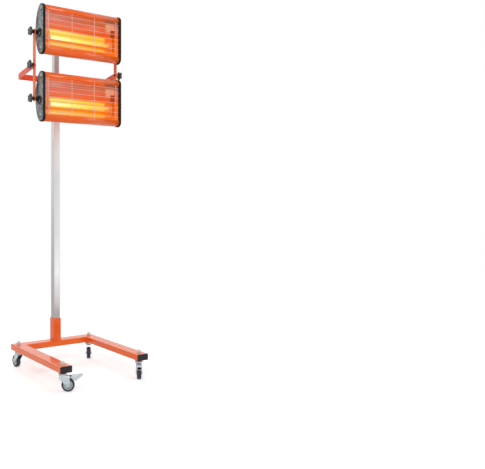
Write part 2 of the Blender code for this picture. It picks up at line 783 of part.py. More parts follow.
def make_mast():
    on_axis = Matrix.Translation((0, MAST_Y, 0))
    clamp_z = MAST_OUTER_TOP + COLLAR_LIP - COLLAR_HEIGHT / 2
    make_mast_outer(on_axis, clamp_z)
    make_collar(on_axis, clamp_z)
    make_mast_inner(add_empty("mast_slide", (0, MAST_Y, 0)))
    boss_end = COLLAR_SIZE / 2 + COLLAR_BOSS
    stud = boss_end - MAST_INNER_SIZE / 2 - 2 * GAP
    make_knob("mast_clamp_knob", None, (0, MAST_Y + boss_end, clamp_z), "Y", stud)


def make_knob(name, parent, location, axis, stud_length):
    """A lobed knob on a neck, with the threaded stud that it turns."""
    flare = 0.0015
    profile = [
        (0.0, KNOB_NECK + KNOB_HEAD / 2),
        (KNOB_NECK_RADIUS + flare, KNOB_NECK + KNOB_HEAD / 2),
        (KNOB_NECK_RADIUS, KNOB_NECK - flare),
        (KNOB_NECK_RADIUS - flare / 2, GAP),
        (STUD_RADIUS, GAP),
        (STUD_RADIUS, GAP - stud_length),
        (0.0, GAP - stud_length),
    ]
    place = Matrix.Translation(location) @ aim(axis)
    neck = add_helper(f"{name}_neck", turned("neck", profile, 10), parent, place)
    points = 4 * KNOB_LOBES
    outline = []
    for step in range(points):
        angle = math.tau * step / points
        radius = KNOB_RADIUS - KNOB_LOBE_DEPTH * (1 - math.cos(KNOB_LOBES * angle))
        outline.append((radius * math.cos(angle), radius * math.sin(angle)))
    head = prism("star", [outline], KNOB_NECK, KNOB_NECK + KNOB_HEAD)
    knob = add_object(name, head, BLACK_PLASTIC, parent, place)
    bevel(knob, KNOB_ROUND)
    boolean(knob, neck, "UNION")


def make_yoke_bracket(slide):
    """The sleeve that clamps on the inner mast, with the stub and plate that carry the yoke."""
    size = SLEEVE_BORE + 2 * BRACKET_WALL
    low, high = YOKE_CROSSBAR_Z - BRACKET_HEIGHT / 2, YOKE_CROSSBAR_Z + BRACKET_HEIGHT / 2
    sleeve = prism("sleeve", [rounded_rectangle(size, size, BRACKET_ROUND)], low, high)
    bracket = add_object("yoke_bracket", sleeve, ORANGE, slide)

    plate_back = GAP - YOKE_SETBACK
    plate_front = plate_back + BRACKET_WALL
    sunk = BRACKET_WALL / 2
    half_stub, half_height = BRACKET_STUB / 2, YOKE_HEIGHT / 2
    stub = block(
        "stub",
        (-half_stub, plate_front - sunk, YOKE_CROSSBAR_Z - half_height),
        (half_stub, sunk - size / 2, YOKE_CROSSBAR_Z + half_height),
    )
    boolean(bracket, add_helper("bracket_stub", stub, slide), "UNION")
    plate_outline = [rounded_rectangle(BRACKET_PLATE, YOKE_HEIGHT, BRACKET_ROUND)]
    plate = prism("bracket_plate", plate_outline, plate_back, plate_front, "Y")
    at_crossbar = Matrix.Translation((0, 0, YOKE_CROSSBAR_Z))
    boolean(bracket, add_helper("bracket_plate", plate, slide, at_crossbar), "UNION")

    outline = [rounded_rectangle(SLEEVE_BORE, SLEEVE_BORE, MAST_ROUND / 2)]
    bore = prism("bore", outline, low - OVERRUN, high + OVERRUN)
    boolean(bracket, add_helper("bracket_bore", bore, slide), "DIFFERENCE")
    stud_hole = rod("stud_hole", STUD_RADIUS + HOLE_PLAY, (0, 0, YOKE_CROSSBAR_Z), size, "Y")
    boolean(bracket, add_helper("bracket_stud_hole", stud_hole, slide), "DIFFERENCE")
    through = BRACKET_WALL + 2 * OVERRUN
    bolt_holes = []
    for side in (-1, 1):
        start = (side * BOLT_SPREAD / 2, plate_back - OVERRUN, YOKE_CROSSBAR_Z)
        bolt_holes.append(rod("bolt_hole", BOLT_RADIUS + HOLE_PLAY, start, through, "Y"))
    holes = add_helper("bracket_bolt_holes", joined("bolt_holes", bolt_holes), slide)
    boolean(bracket, holes, "DIFFERENCE")
    stud = size / 2 - MAST_INNER_SIZE / 2 - GAP
    make_knob("bracket_clamp_knob", slide, (0, size / 2, YOKE_CROSSBAR_Z), "Y", stud)


def yoke_plan(outer, inner, tip):
    """The U outline of the yoke seen from above, in the mast's frame."""
    back = -YOKE_SETBACK
    front = back - YOKE_SHEET
    inner_bend = YOKE_BEND - YOKE_SHEET
    outside = [(outer, tip), *arc((outer - YOKE_BEND, back - YOKE_BEND), YOKE_BEND, 0, 90, 4)]
    inside = [(inner, tip), *arc((inner - inner_bend, front - inner_bend), inner_bend, 0, 90, 3)]
    outside += [(-x, y) for x, y in reversed(outside)]
    inside += [(-x, y) for x, y in reversed(inside)]
    return outside + inside[::-1]


def yoke_side():
    """The arm's outline seen from the side: level at the crossbar, then rising to its eye."""
    half = YOKE_HEIGHT / 2
    back = OVERRUN - YOKE_SETBACK
    straight = -YOKE_SETBACK - YOKE_BEND
    slope = math.degrees(math.atan2(YOKE_RISE, PIVOT_REACH + straight))
    return [
        (back, YOKE_CROSSBAR_Z + half),
        (straight, YOKE_CROSSBAR_Z + half),
        *arc((-PIVOT_REACH, PIVOT_HEIGHT), half, 90 - slope, 270 - slope, 8),
        (straight, YOKE_CROSSBAR_Z - half),
        (back, YOKE_CROSSBAR_Z - half),
    ]


def make_yoke_bolts():
    """The two bolts that hold the yoke to the bracket's plate."""
    shank = YOKE_SHEET + BRACKET_WALL + STUD_END - GAP
    profile = [
        (0.0, shank),
        (BOLT_RADIUS, shank),
        (BOLT_RADIUS, GAP),
        (BOLT_HEAD_RADIUS, GAP),
        (BOLT_HEAD_RADIUS, -BOLT_HEAD),
        (0.0, -BOLT_HEAD),
    ]
    bolts = []
    for side in (-1, 1):
        bolt = turned("yoke_bolt", profile, 10)
        seat = (side * BOLT_SPREAD / 2, -YOKE_SETBACK - YOKE_SHEET, YOKE_CROSSBAR_Z)
        bolt.transform(Matrix.Translation(seat) @ aim("Y"))
        bolts.append(bolt)
    return joined("yoke_bolts", bolts)


def make_yoke(slide):
    """A flat bar bent to a U, whose arms rise to the middle pivots."""
    inner = FRAME_HALF_WIDTH + GAP
    outer = inner + YOKE_SHEET
    tip = -PIVOT_REACH - YOKE_HEIGHT / 2 - OVERRUN
    low, high = YOKE_CROSSBAR_Z - YOKE_HEIGHT, PIVOT_HEIGHT + YOKE_HEIGHT
    plan = prism("yoke_plan", [yoke_plan(outer, inner, tip)], low, high)
    yoke = add_object("yoke", plan, ORANGE, slide)
    side = prism("yoke_side", [yoke_side()], -outer - OVERRUN, outer + OVERRUN, "X")
    boolean(yoke, add_helper("yoke_side", side, slide), "INTERSECT")
    boolean(yoke, add_helper("yoke_bolts", make_yoke_bolts(), slide), "UNION")
    start = (-outer - OVERRUN, -PIVOT_REACH, PIVOT_HEIGHT)
    hole = rod("pivot_hole", STUD_RADIUS + HOLE_PLAY, start, 2 * (outer + OVERRUN), "X", 12)
    boolean(yoke, add_helper("yoke_pivot_hole", hole, slide), "DIFFERENCE")


def make_side_bars(tilt):
    """Two flat bars from the upper head's pivots past the yoke to the lower head's pivots."""
    half = BAR_WIDTH / 2
    reach = PIVOT_SPACING / 2
    end = reach + BAR_OVERHANG - half
    outline = arc((0, end), half, 0, 180, 6) + arc((0, -end), half, 180, 360, 6)
    holes = [circle((0, height), STUD_RADIUS + HOLE_PLAY, 12) for height in (-reach, 0, reach)]
    stud = YOKE_SHEET + BAR_SHEET + STUD_END
    for side, name in ((-1, "left"), (1, "right")):
        low, high = sorted((side * FRAME_HALF_WIDTH, side * (FRAME_HALF_WIDTH - BAR_SHEET)))
        add_object(f"side_bar_{name}", prism("side_bar", [outline, *holes], low, high, "X"), ORANGE, tilt)
        seat = (side * (FRAME_HALF_WIDTH + GAP + YOKE_SHEET), 0, 0)
        make_knob(f"middle_knob_{name}", tilt, seat, "X" if side > 0 else "-X", stud)


def head_outline(margin=0.0, steps=14):
    """The D-shaped section of a head: (y, z) from the lower front corner round the back."""
    corner = HEAD_CORNER + margin
    top, bottom = HEAD_TOP + margin, HEAD_BOTTOM - margin
    middle = HEAD_FRONT - margin + corner
    depth = HEAD_BACK + margin - middle
    lower = arc((middle, bottom + corner), corner, 180, 270, 3)
    upper = arc((middle, top - corner), corner, 90, 180, 3)
    back = []
    for step in range(1, steps):
        angle = math.pi * step / steps - math.pi / 2
        height = HEAD_RISE + (top - HEAD_RISE) * math.sin(angle)
        back.append((middle + depth * math.cos(angle), height))
    return lower + back + upper


def wide_sheet(name, path, low, high):
    """An open path of (y, z) points, given its width along X."""
    mesh = bpy.data.meshes.new(name)
    form = bmesh.new()
    near = [form.verts.new((low, y, z)) for y, z in path]
    edges = [form.edges.new(pair) for pair in zip(near, near[1:])]
    swept = bmesh.ops.extrude_edge_only(form, edges=edges)["geom"]
    far = [item for item in swept if isinstance(item, bmesh.types.BMVert)]
    bmesh.ops.translate(form, verts=far, vec=(high - low, 0, 0))
    form.to_mesh(mesh)
    form.free()
    return mesh


def solidify(obj, thickness, offset):
    modifier = obj.modifiers.new("Solidify", "SOLIDIFY")
    modifier.thickness = thickness
    modifier.offset = offset
    modifier.use_even_offset = True


def trough_path(steps=10):
    """The reflector's parabola behind the tube, from its lower mouth to its upper mouth."""
    depth = TROUGH_BACK - TROUGH_FRONT
    points = []
    for step in range(steps + 1):
        share = 2 * step / steps - 1
        points.append((TROUGH_BACK - depth * share * share, TROUGH_Z + TROUGH_MOUTH * share))
    return points


def make_head_shells(level, pivot):
    """The orange housing, open in front between its lips, and the reflector inside it."""
    low, high = HEAD_LEFT + CAP_FACE + GAP, HEAD_RIGHT - CAP_FACE - GAP
    lip_low, lip_high = HEAD_BOTTOM + LIP_HEIGHT, HEAD_TOP - LIP_HEIGHT
    section = [(HEAD_FRONT, lip_low), *head_outline(), (HEAD_FRONT, lip_high)]
    mesh = wide_sheet("housing", section, low, high)
    housing = add_object(f"{level}_head_housing", mesh, ORANGE, pivot)
    solidify(housing, HOUSING_SHEET, INWARD)
    start = (GLAND_X, HEAD_BACK - GLAND_RADIUS, HEAD_RISE)
    hole = rod("gland_hole", GLAND_RADIUS + HOLE_PLAY, start, 2 * GLAND_RADIUS, "Y")
    boolean(housing, add_helper(f"{level}_gland_hole", hole, pivot), "DIFFERENCE")

    wing_y = HEAD_FRONT + REFLECTOR_SINK
    wing_low, wing_high = lip_low - REFLECTOR_TUCK, lip_high + REFLECTOR_TUCK
    section = [(wing_y, wing_low), *trough_path(), (wing_y, wing_high)]
    mesh = wide_sheet("reflector", section, low, high)
    reflector = add_object(f"{level}_head_reflector", mesh, REFLECTOR_METAL, pivot)
    solidify(reflector, REFLECTOR_SHEET, INWARD)


def make_cable_gland(level, pivot):
    """The inlet in the back of the housing, where the supply cord would enter."""
    flange_radius, flange, nut_radius, nut_end, mouth_radius = 0.0105, 0.005, 0.0085, 0.012, 0.0065
    profile = [
        (GLAND_BORE, GLAND_LENGTH),
        (mouth_radius, GLAND_LENGTH),
        (nut_radius, nut_end),
        (nut_radius, flange),
        (flange_radius, flange),
        (flange_radius, 0.0),
        (GLAND_RADIUS, 0.0),
        (GLAND_RADIUS, -GLAND_RADIUS),
        (GLAND_BORE, -GLAND_RADIUS),
    ]
    place = Matrix.Translation((GLAND_X, HEAD_BACK + GAP, HEAD_RISE)) @ aim("Y")
    gland = turned("cable_gland", profile, 12)
    add_object(f"{level}_head_cable_gland", gland, BLACK_PLASTIC, pivot, place)


def make_end_cap(level, side, pivot):
    """A dished cap over one end, with a round pad and the boss that its pivot stud screws into."""
    end = "right" if side > 0 else "left"
    axis = "X" if side > 0 else "-X"
    name = f"{level}_head_cap_{end}"
    face = HEAD_RIGHT if side > 0 else HEAD_LEFT
    inner = face - side * CAP_THICKNESS
    pan = face - side * CAP_FACE
    cap_mesh = prism("cap", [head_outline(CAP_MARGIN)], *sorted((face, inner)), "X")
    cap = add_object(name, cap_mesh, CAP_GREY, pivot)
    bevel(cap, CAP_ROUND)
    recess = prism("cap_recess", [head_outline(GAP)], *sorted((pan, inner - side * OVERRUN)), "X")
    boolean(cap, add_helper(f"{name}_recess", recess, pivot), "DIFFERENCE")

    length = BOSS_LENGTH - GAP
    root = face - side * OVERRUN
    boss = rod("boss", BOSS_RADIUS, (root, 0, 0), length + OVERRUN, axis, 14)
    boolean(cap, add_helper(f"{name}_boss", boss, pivot), "UNION")
    disc = rod("disc", DISC_RADIUS, (root, DISC_Y, DISC_Z), DISC_HEIGHT + OVERRUN, axis, 16)
    boolean(cap, add_helper(f"{name}_disc", disc, pivot), "UNION")
    start = (pan - side * OVERRUN, 0, 0)
    through = CAP_FACE + length + 2 * OVERRUN
    bore = rod("bore", STUD_RADIUS + HOLE_PLAY, start, through, axis)
    boolean(cap, add_helper(f"{name}_bore", bore, pivot), "DIFFERENCE")
    stud = BAR_SHEET + length + CAP_FACE
    make_knob(f"{level}_knob_{end}", pivot, (side * FRAME_HALF_WIDTH, 0, 0), axis, stud)


def make_tube_holder(level, end, place, plate_x, pivot):
    """A ceramic end with the plate that stands across the trough, one solid."""
    chamfer, slack = 0.002, 0.0012
    bore = TUBE_RADIUS + GAP
    profile = [
        (0.0, CERAMIC_LENGTH),
        (CERAMIC_RADIUS - chamfer, CERAMIC_LENGTH),
        (CERAMIC_RADIUS, CERAMIC_LENGTH - chamfer),
        (CERAMIC_RADIUS, 0.0),
        (bore, 0.0),
        (bore, TUBE_SUNK + GAP),
        (0.0, TUBE_SUNK + GAP),
    ]
    ceramic = turned("ceramic", profile, 12)
    holder = add_object(f"{level}_tube_holder_{end}", ceramic, CERAMIC, pivot, place)
    share = 1 - slack / TROUGH_MOUTH
    outline = []
    for y, z in trough_path():
        y = TROUGH_FRONT + (y - TROUGH_FRONT) * share - slack
        outline.append((y, TROUGH_Z + (z - TROUGH_Z) * share))
    flange = prism(
        "holder_plate", [outline], plate_x - HOLDER_PLATE / 2, plate_x + HOLDER_PLATE / 2, "X"
    )
    boolean(holder, add_helper(f"{level}_holder_plate_{end}", flange, pivot), "UNION")


def make_tube(level, pivot):
    """The quartz tube between its two holders."""
    reach = LIT_HALF + TUBE_SUNK
    tube = rod("tube", TUBE_RADIUS, (-reach, TUBE_Y, TUBE_Z), 2 * reach, "X", 12)
    add_object(f"{level}_quartz_tube", tube, QUARTZ, pivot)
    for side, end in ((-1, "left"), (1, "right")):
        place = Matrix.Translation((side * LIT_HALF, TUBE_Y, TUBE_Z)) @ aim("X" if side > 0 else "-X")
        make_tube_holder(level, end, place, side * (LIT_HALF + CERAMIC_LENGTH / 2), pivot)


def make_grille(level, pivot):
    """Wires along the head, welded behind a few upright ones, in the housing's mouth."""
    weld_share = 0.8
    low, high = HEAD_LEFT + CAP_FACE + 2 * GAP, HEAD_RIGHT - CAP_FACE - 2 * GAP
    bottom, top = HEAD_BOTTOM + LIP_HEIGHT + GAP, HEAD_TOP - LIP_HEIGHT - GAP
    row_y = HEAD_FRONT + GRILLE_SINK
    column_y = row_y - 2 * GRILLE_WIRE * weld_share
    first_row = HEAD_RISE - GRILLE_ROW_PITCH * (GRILLE_ROWS - 1) / 2
    first_column = -GRILLE_COLUMN_PITCH * (GRILLE_COLUMNS - 1) / 2
    rows, columns = [], []
    for row in range(GRILLE_ROWS):
        start = (low, row_y, first_row + GRILLE_ROW_PITCH * row)
        rows.append(rod("row", GRILLE_WIRE, start, high - low, "X", 4))
    for column in range(GRILLE_COLUMNS):
        start = (first_column + GRILLE_COLUMN_PITCH * column, column_y, bottom)
        columns.append(rod("column", GRILLE_WIRE, start, top - bottom, "Z", 4))
    grille = add_object(f"{level}_head_grille", joined("rows", rows), STEEL, pivot)
    uprights = add_helper(f"{level}_grille_columns", joined("columns", columns), pivot)
    boolean(grille, uprights, "UNION")


def make_head(level, tilt, height):
    pivot = add_empty(f"{level}_head_pivot", (0, 0, height), parent=tilt)
    make_head_shells(level, pivot)
    make_cable_gland(level, pivot)
    make_end_cap(level, -1, pivot)
    make_end_cap(level, 1, pivot)
    make_tube(level, pivot)
    make_grille(level, pivot)


def main():
    make_base_frame()
    make_leg_end_plugs()
    make_casters()
    make_mast()
    bracket = add_empty("bracket_slide", (0, MAST_Y, 0))
    make_yoke_bracket(bracket)
    make_yoke(bracket)
    tilt = add_empty("frame_tilt", (0, PIVOT_Y, PIVOT_HEIGHT))
    make_side_bars(tilt)
    make_head("upper", tilt, PIVOT_SPACING / 2)
    make_head("lower", tilt, -PIVOT_SPACING / 2)


clear_scene()
PARTS = collection("infrared_curing_lamp")
CUTTERS = collection("cutters")
main()
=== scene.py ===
"""Infrared paint curing lamp on its wheeled stand, lit, in a plain pale studio.

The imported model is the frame. Round, bent and moulded pieces are made again here with finer
surfaces, in the same places, and every surface gets a procedural material.
"""

import json
import math

import bmesh
import bpy
from mathutils import Matrix, Vector, noise


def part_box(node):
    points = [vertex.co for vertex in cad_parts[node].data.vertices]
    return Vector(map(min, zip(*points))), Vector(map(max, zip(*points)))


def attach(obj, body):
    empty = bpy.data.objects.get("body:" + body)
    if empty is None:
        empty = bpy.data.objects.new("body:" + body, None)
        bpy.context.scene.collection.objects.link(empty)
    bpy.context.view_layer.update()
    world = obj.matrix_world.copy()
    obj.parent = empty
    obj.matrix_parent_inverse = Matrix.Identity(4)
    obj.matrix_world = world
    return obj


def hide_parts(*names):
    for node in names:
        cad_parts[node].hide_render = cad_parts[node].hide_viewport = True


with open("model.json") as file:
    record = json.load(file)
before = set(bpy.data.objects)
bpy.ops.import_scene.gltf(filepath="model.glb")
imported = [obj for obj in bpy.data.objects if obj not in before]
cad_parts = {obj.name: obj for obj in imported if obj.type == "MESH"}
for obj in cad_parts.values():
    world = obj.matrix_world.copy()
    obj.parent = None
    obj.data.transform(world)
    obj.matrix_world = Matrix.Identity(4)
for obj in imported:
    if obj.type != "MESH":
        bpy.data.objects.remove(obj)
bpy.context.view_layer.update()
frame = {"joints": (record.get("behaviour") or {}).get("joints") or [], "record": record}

GAP = 0.0003
OVERLAP = 0.001
FINE_EDGE = 0.0003
PRESSED_EDGE = 0.0004
BAR_EDGE = 0.0005
SHEET_EDGE = 0.0006
STUB_EDGE = 0.0008
PLUG_EDGE = 0.0009
COLLAR_EDGE = 0.001
TOP_PLUG_EDGE = 0.0012
BODIES = frame["record"]["behaviour"]["bodies"]
JOINTS = {joint["name"]: joint for joint in frame["joints"]}
SIDES = ((-1, "left"), (1, "right"))

# Stand
TUBE_WIDTH = 0.050
TUBE_HEIGHT = 0.025
TUBE_ROUND = 0.003
SOCKET_SIZE = 0.0366
SOCKET_WALL = 0.003
SOCKET_SCREW_RISE = 0.060
SOCKET_SCREW = (0.0056, 0.0048)
PLUG_PLATE = 0.003
BEAD = 0.0014
BEAD_INSET = 0.0006
BEAD_LEAST = 0.8
BEAD_WAVES = 900.0

# Casters, each in its own frame: X along the trail, Z up
TRAIL = 0.020
WHEEL_RADIUS = 0.025
TYRE_BEAD = [(0.0178, 0.0077), (0.0190, 0.0085), (0.0210, 0.0085)]
TYRE_SHOULDER = (0.0210, 0.0047)
TYRE_ROUND = 0.0038
TREAD_EDGE = (0.0250, 0.0037)
HUB_HALF = [(0.0044, 0.009), (0.0068, 0.009), (0.0074, 0.0084), (0.0080, 0.0022), (0.0149, 0.0022)]
HUB_HALF += [(0.0154, 0.0069), (0.0175, 0.0075)]
HUB_RIBS = 6
RIB = (0.0069, 0.0157, -0.0008, 0.0008)
RIB_HALF = 0.0063
AXLE_HALF = [(0, 0.01395), (0.0033, 0.01395), (0.0054, 0.01338), (0.006, 0.01205), (0.004, 0.01205)]
FORK_GAP = 0.0195
FORK_SHEET = 0.002
FORK_BEND = 0.0045
FORK_TOP = 0.060
FORK_BOTTOM = 0.010
FORK_BACK = 0.0145
FORK_FRONT = 0.014
BRAKED_FORK_FRONT = 0.026
FORK_SKIRT = 0.010
FORK_EYE = 0.0075
FORK_STRIP = (-0.03, 0.04)
RACE = [(0.0056, 0.0705), (0.0102, 0.0705), (0.0124, 0.0699), (0.0138, 0.0683), (0.0154, 0.0673)]
RACE += [(0.0160, 0.0663), (0.0160, 0.0612), (0.0145, 0.0600), (0.0056, 0.0600)]
WASHER = [(0, 0.0015), (0.0091, 0.0015), (0.0096, 0.0011), (0.0096, 0), (0, 0)]
NUT_FLATS = 0.0148
NUT_SEAT = 0.0012
NUT_HEIGHT = 0.0080
NUT_CHAMFER = 0.001
NUT_DOME = 0.0068
DOME_SHARE = 0.44
STEM_RADIUS = 0.005
STEM = [(0.005, 0.0735), (0.0105, 0.0735), (0.0105, 0.0708), (0.005, 0.0708), (0.005, 0.0580)]
STEM += [(0.008, 0.0577), (0.008, 0.0540), (0, 0.0540)]
PEDAL_MARGIN = 0.001
PEDAL_SHEET = 0.0016
PEDAL_UNDER = [(0.0150, 0.0516), (0.0320, 0.0516), (0.0434, 0.0417), (0.0465, 0.0406), (0.0556, 0.0442)]
PEDAL_LIP = [(0.0744, 0.0606), (0.0744, 0.0648)]
PEDAL_TOP = [(0.0729, 0.0664), (0.0500, 0.0625), (0.0330, 0.0610), (0.0320, 0.0560), (0.0150, 0.0555)]
PEDAL_LIP_FOOT = (0.0728, 0.0600)
PEDAL_SHOE = [(0.0420, 0.0431), *PEDAL_UNDER[2:], (0.0556, 0.0458), (0.0460, 0.0424)]
PEDAL_RIDGES = 5
RIDGE_AT = (0.0588, 0.0633)
RIDGE_STEP = (0.0028, 0.00047)
RIDGE = (0.0013, 0.0014)
RIDGE_FALL = 0.0002

# Mast, yoke and bars
MAST_ROUND = 0.003
MAST_WALL = 0.002
MAST_CORNERS = (MAST_ROUND, MAST_ROUND / 2)
TOP_PLUG = 0.0037
COLLAR_BORE = 0.0306
COLLAR_ROUND = 0.005
COLLAR_LIP = 0.004
COLLAR_LIP_BORE = 0.026
COLLAR_BOSS = [(0.0044, 0.011), (0.0082, 0.011), (0.009, 0.0102), (0.009, 0), (0.0044, 0)]
YOKE_BEHIND_MAST = 0.0375
YOKE_SHEET = 0.003
YOKE_HEIGHT = 0.024
YOKE_BEND = 0.006
YOKE_BOLT_X = 0.030
YOKE_BOLT = (0.0055, 0.0038)
YOKE_NUT = (0.0055, 0.004)
YOKE_NUT_SEAT = 0.0066
YOKE_SHANK = [(0, 0.0118), (0.0026, 0.0118), (0.003, 0.0114), (0.003, 0), (0, 0)]
SLEEVE_SIZE = 0.032
SLEEVE_BORE = 0.026
BRACKET_ROUND = 0.004
STUB_HALF = 0.015
BAR_WIDTH = 0.020

# Star knobs, along their own Z
KNOB_RADIUS = 0.018
KNOB_LOBES = 5
KNOB_LOBE_DEPTH = 0.0022
KNOB_HEAD = 0.009
KNOB_EDGE = 0.0026
KNOB_DOME = 0.004
KNOB_SINK = 0.0001
KNOB_CAP = [(0, 0.0002), (0.0062, -0.0001), (0.0070, -0.0012), (0, -0.0012)]
KNOB_CAP_SEAT = 0.0004
KNOB_NECK = 0.012
NECK = [(0, 0.014), (0.0103, 0.014), (0.0091, 0.0112), (0.0077, 0.0092), (0.0075, 0.007)]
NECK += [(0.0070, 0.0011), (0.0065, 0.0003), (0.0038, 0.0003)]
STUD_RADIUS = 0.0038
STUD_TIP = (0.0030, 0.0006)

# Heads, in a frame whose origin is the head's pivot
HEAD_CORNER = 0.020
HEAD_RISE = 0.0045
SHEET = 0.0012
HEM = 0.004
LIP_HEIGHT = 0.024
CAP_THICKNESS = 0.010
CAP_MARGIN = 0.002
CAP_STEP = 0.0006
CAP_FACE_INSET = 0.0036
CAP_FACE_DEPTH = 0.003
BOSS_BORE = 0.0044
BOSS_RADIUS = 0.0085
BOSS_CHAMFER = 0.001
BOSS_FOOT = [(0.0085, 0.0006), (0.0093, -0.0005), (0.0044, -0.0005)]
PAD = [(0, 0.0021), (0.00935, 0.00225), (0.01054, 0.003), (0.0158, 0.003), (0.017, 0.0018)]
PAD += [(0.017, -0.0005), (0, -0.0005)]
PAD_DISH = 0.0021
PAD_Y = -0.0275
PAD_Z = -0.008
PAD_SCREWS = ((-0.006, -0.004), (0.002, -0.010))
PAD_SCREW = (0.0026, 0.0012)
CAP_SCREW = (0.0042, 0.0022)
CAP_SCREW_Y = 0.018
CAP_SCREWS_FROM_ENDS = (0.016, 0.026)
PAN_CURVE = ((0, 1), (0.5, 0.96), (0.82, 0.72), (1, 0.3))
CROSS_LENGTH = 0.55
CROSS_WIDTH = 0.11
CROSS_FLOOR = 0.35
CROSS_TOP = 1.5
TROUGH_MOUTH = 0.030
TROUGH_FRONT = -0.0395
TROUGH_BACK = 0.0005
TROUGH_Z = -0.022
WING_DEPTH = 0.0062
WING_MARGIN = 0.006
REFLECTOR_SHEET = 0.0008
END_SHEET_X = 0.1740
END_SHEET = 0.0004
END_SHEET_BACK = 0.0009
TUBE_RADIUS = 0.006
TUBE_Y = -0.0195
TUBE_Z = -0.018
HOLDER_LENGTH = 0.028
HOLDER_SHEET = 0.0012
HOLDER_MARGIN = 0.0012
HOLDER = [(0, 0.028), (0.0068, 0.028), (0.0088, 0.0262), (0.009, 0.0255), (0.009, 0.0008)]
HOLDER += [(0.0082, 0), (0.0063, 0), (0.0063, 0.008), (0, 0.008)]
WIRE = 0.001
WIRE_DEPTH = 0.0036
COLUMN_DEPTH = 0.0016
WIRE_ROWS = 7
WIRE_PITCH = 0.020
WIRE_COLUMNS = 4
WIRE_COLUMN_PITCH = 0.106
GLAND_FLANGE = (0.0105, 0.005)
GLAND = [(0.0035, 0.016), (0.0058, 0.016), (0.0072, 0.0148), (0.0084, 0.0122), (0.0085, 0.0045)]
GLAND += [(0.0035, 0.0045)]

# Camera, found from the photograph
CAMERA_AT = (-1.289, -2.182, 0.7007)
CAMERA_TURN = -31.2
IMAGE_WIDTH = 485
IMAGE_HEIGHT = 469
FOCAL_PIXELS = 614.6
AXIS_PIXEL = (85, 203)
SENSOR = 36.0

# Studio lights: place, width, power
LIGHTS_TARGET = (0, 0, 0.7)
LIGHTS = {
    "key": ((-2.2, -2.6, 3.0), 2.0, 60),
    "fill": ((2.6, -2.0, 1.6), 2.0, 22),
    "back": ((0.5, 3.0, 2.6), 2.0, 30),
}
FLOOR_SIZE = 30.0
FLOOR_FADE = (0.6, 1.8)
FLOOR_LIFT = 0.35
FLOOR_TONE = (0.90, 0.90, 0.90)


# Materials

TONE_ENDS = (0.3, 0.7)

# Noises: scale, detail
POWDER_CLOUD = (9.0, 3.0)
POWDER_SHEEN = (40.0, 3.0)
POWDER_PEEL = (700.0, 2.0)
METAL_LINES = (1.0, 4.0)
ZINC_PATCHES = (120.0, 3.0)
ZINC_GRAIN = (900.0, 3.0)
MOULD_CLOUD = (60.0, 3.0)
FLECKS = (105.0, 4.0)
FLECK_CLUSTERS = (26.0, 1.0)
DIMPLE_SCALE = 260.0
RIPPLES = (90.0, 3.0)
STREAKS = (150.0, 3.0)
DENTS = (260.0, 3.0)

# Reliefs: strength, distance
FINE_RELIEF = (0.06, 0.0002)
PEEL_RELIEF = (0.12, 0.0003)
DIMPLE_RELIEF = (0.4, 0.0006)
DENT_RELIEF = (0.2, 0.0005)
MOULD_DEPTH = 0.0003

# Lowest and highest roughness, as such or as offsets from a middle
POWDER_ROUGHNESS = (0.34, 0.46)
ZINC_ROUGHNESS = (0.22, 0.42)
MAST_ROUGHNESS = (0.36, 0.50)
METAL_SPREAD = (-0.06, 0.08)
MOULD_SPREAD = (-0.05, 0.08)

ZINC_TONES = ((0.38, 0.43, 0.46), (0.60, 0.66, 0.70))
MAST_STRETCH = (900, 900, 6)
MAST_SHADE = 0.20
MAST_SHADE_TONE = (0.30, 0.30, 0.31)
HAMMER_STRETCH = (1, 1, 0.6)
FLECK_STEPS = (0.64, 0.74, 0.80, 0.90)


def feed(tree, target, inputs):
    """Sets a node's inputs, each to a plain value or to another node's output."""
    for name, value in inputs.items():
        socket = target.inputs[name]
        if isinstance(value, bpy.types.NodeSocket):
            tree.links.new(value, socket)
        elif isinstance(value, tuple):
            socket.default_value = (*value, 1.0)[: len(socket.default_value)]
        else:
            socket.default_value = value


def node(tree, kind, inputs=None, **settings):
    made = tree.nodes.new(kind)
    for name, value in settings.items():
        setattr(made, name, value)
    feed(tree, made, inputs or {})
    return made


def tree_of(name):
    """A new material with its node tree and its shader."""
    found = bpy.data.materials.new(name)
    found.use_nodes = True
    tree = found.node_tree
    return found, tree, tree.nodes["Principled BSDF"]


def calc(tree, operation, first, second):
    """The result of one operation on two values, either a number or another node's output."""
    return node(tree, "ShaderNodeMath", {0: first, 1: second}, operation=operation).outputs[0]


def times(tree, first, second):
    return calc(tree, "MULTIPLY", first, second)


def less(tree, first, second):
    return calc(tree, "SUBTRACT", first, second)


def axes_of(tree, kind="Object"):
    """The parts along X, Y and Z of the object's own coordinates, or of its normal."""
    place = node(tree, "ShaderNodeTexCoord")
    return node(tree, "ShaderNodeSeparateXYZ", {"Vector": place.outputs[kind]}).outputs


def spread(tree, stretch=(1, 1, 1)):
    """Object coordinates in metres, stretched along some axes."""
    place = node(tree, "ShaderNodeTexCoord")
    mapping = node(tree, "ShaderNodeMapping", {"Vector": place.outputs["Object"], "Scale": stretch})
    return mapping.outputs["Vector"]


def noise_of(tree, scale, detail=3.0, stretch=(1, 1, 1)):
    inputs = {"Vector": spread(tree, stretch), "Scale": scale, "Detail": detail}
    return node(tree, "ShaderNodeTexNoise", inputs).outputs["Fac"]


def ramp(tree, factor, stops):
    made = node(tree, "ShaderNodeValToRGB", {"Fac": factor})
    marks = made.color_ramp.elements
    stops = list(stops)
    while len(marks) < len(stops):
        marks.new(0.5)
    for mark, (position, colour) in zip(marks, stops):
        mark.position = position
        mark.color = (*colour, 1.0)
    return made.outputs["Color"]


def two_tones(tree, factor, dark, light):
    return ramp(tree, factor, zip(TONE_ENDS, (dark, light)))


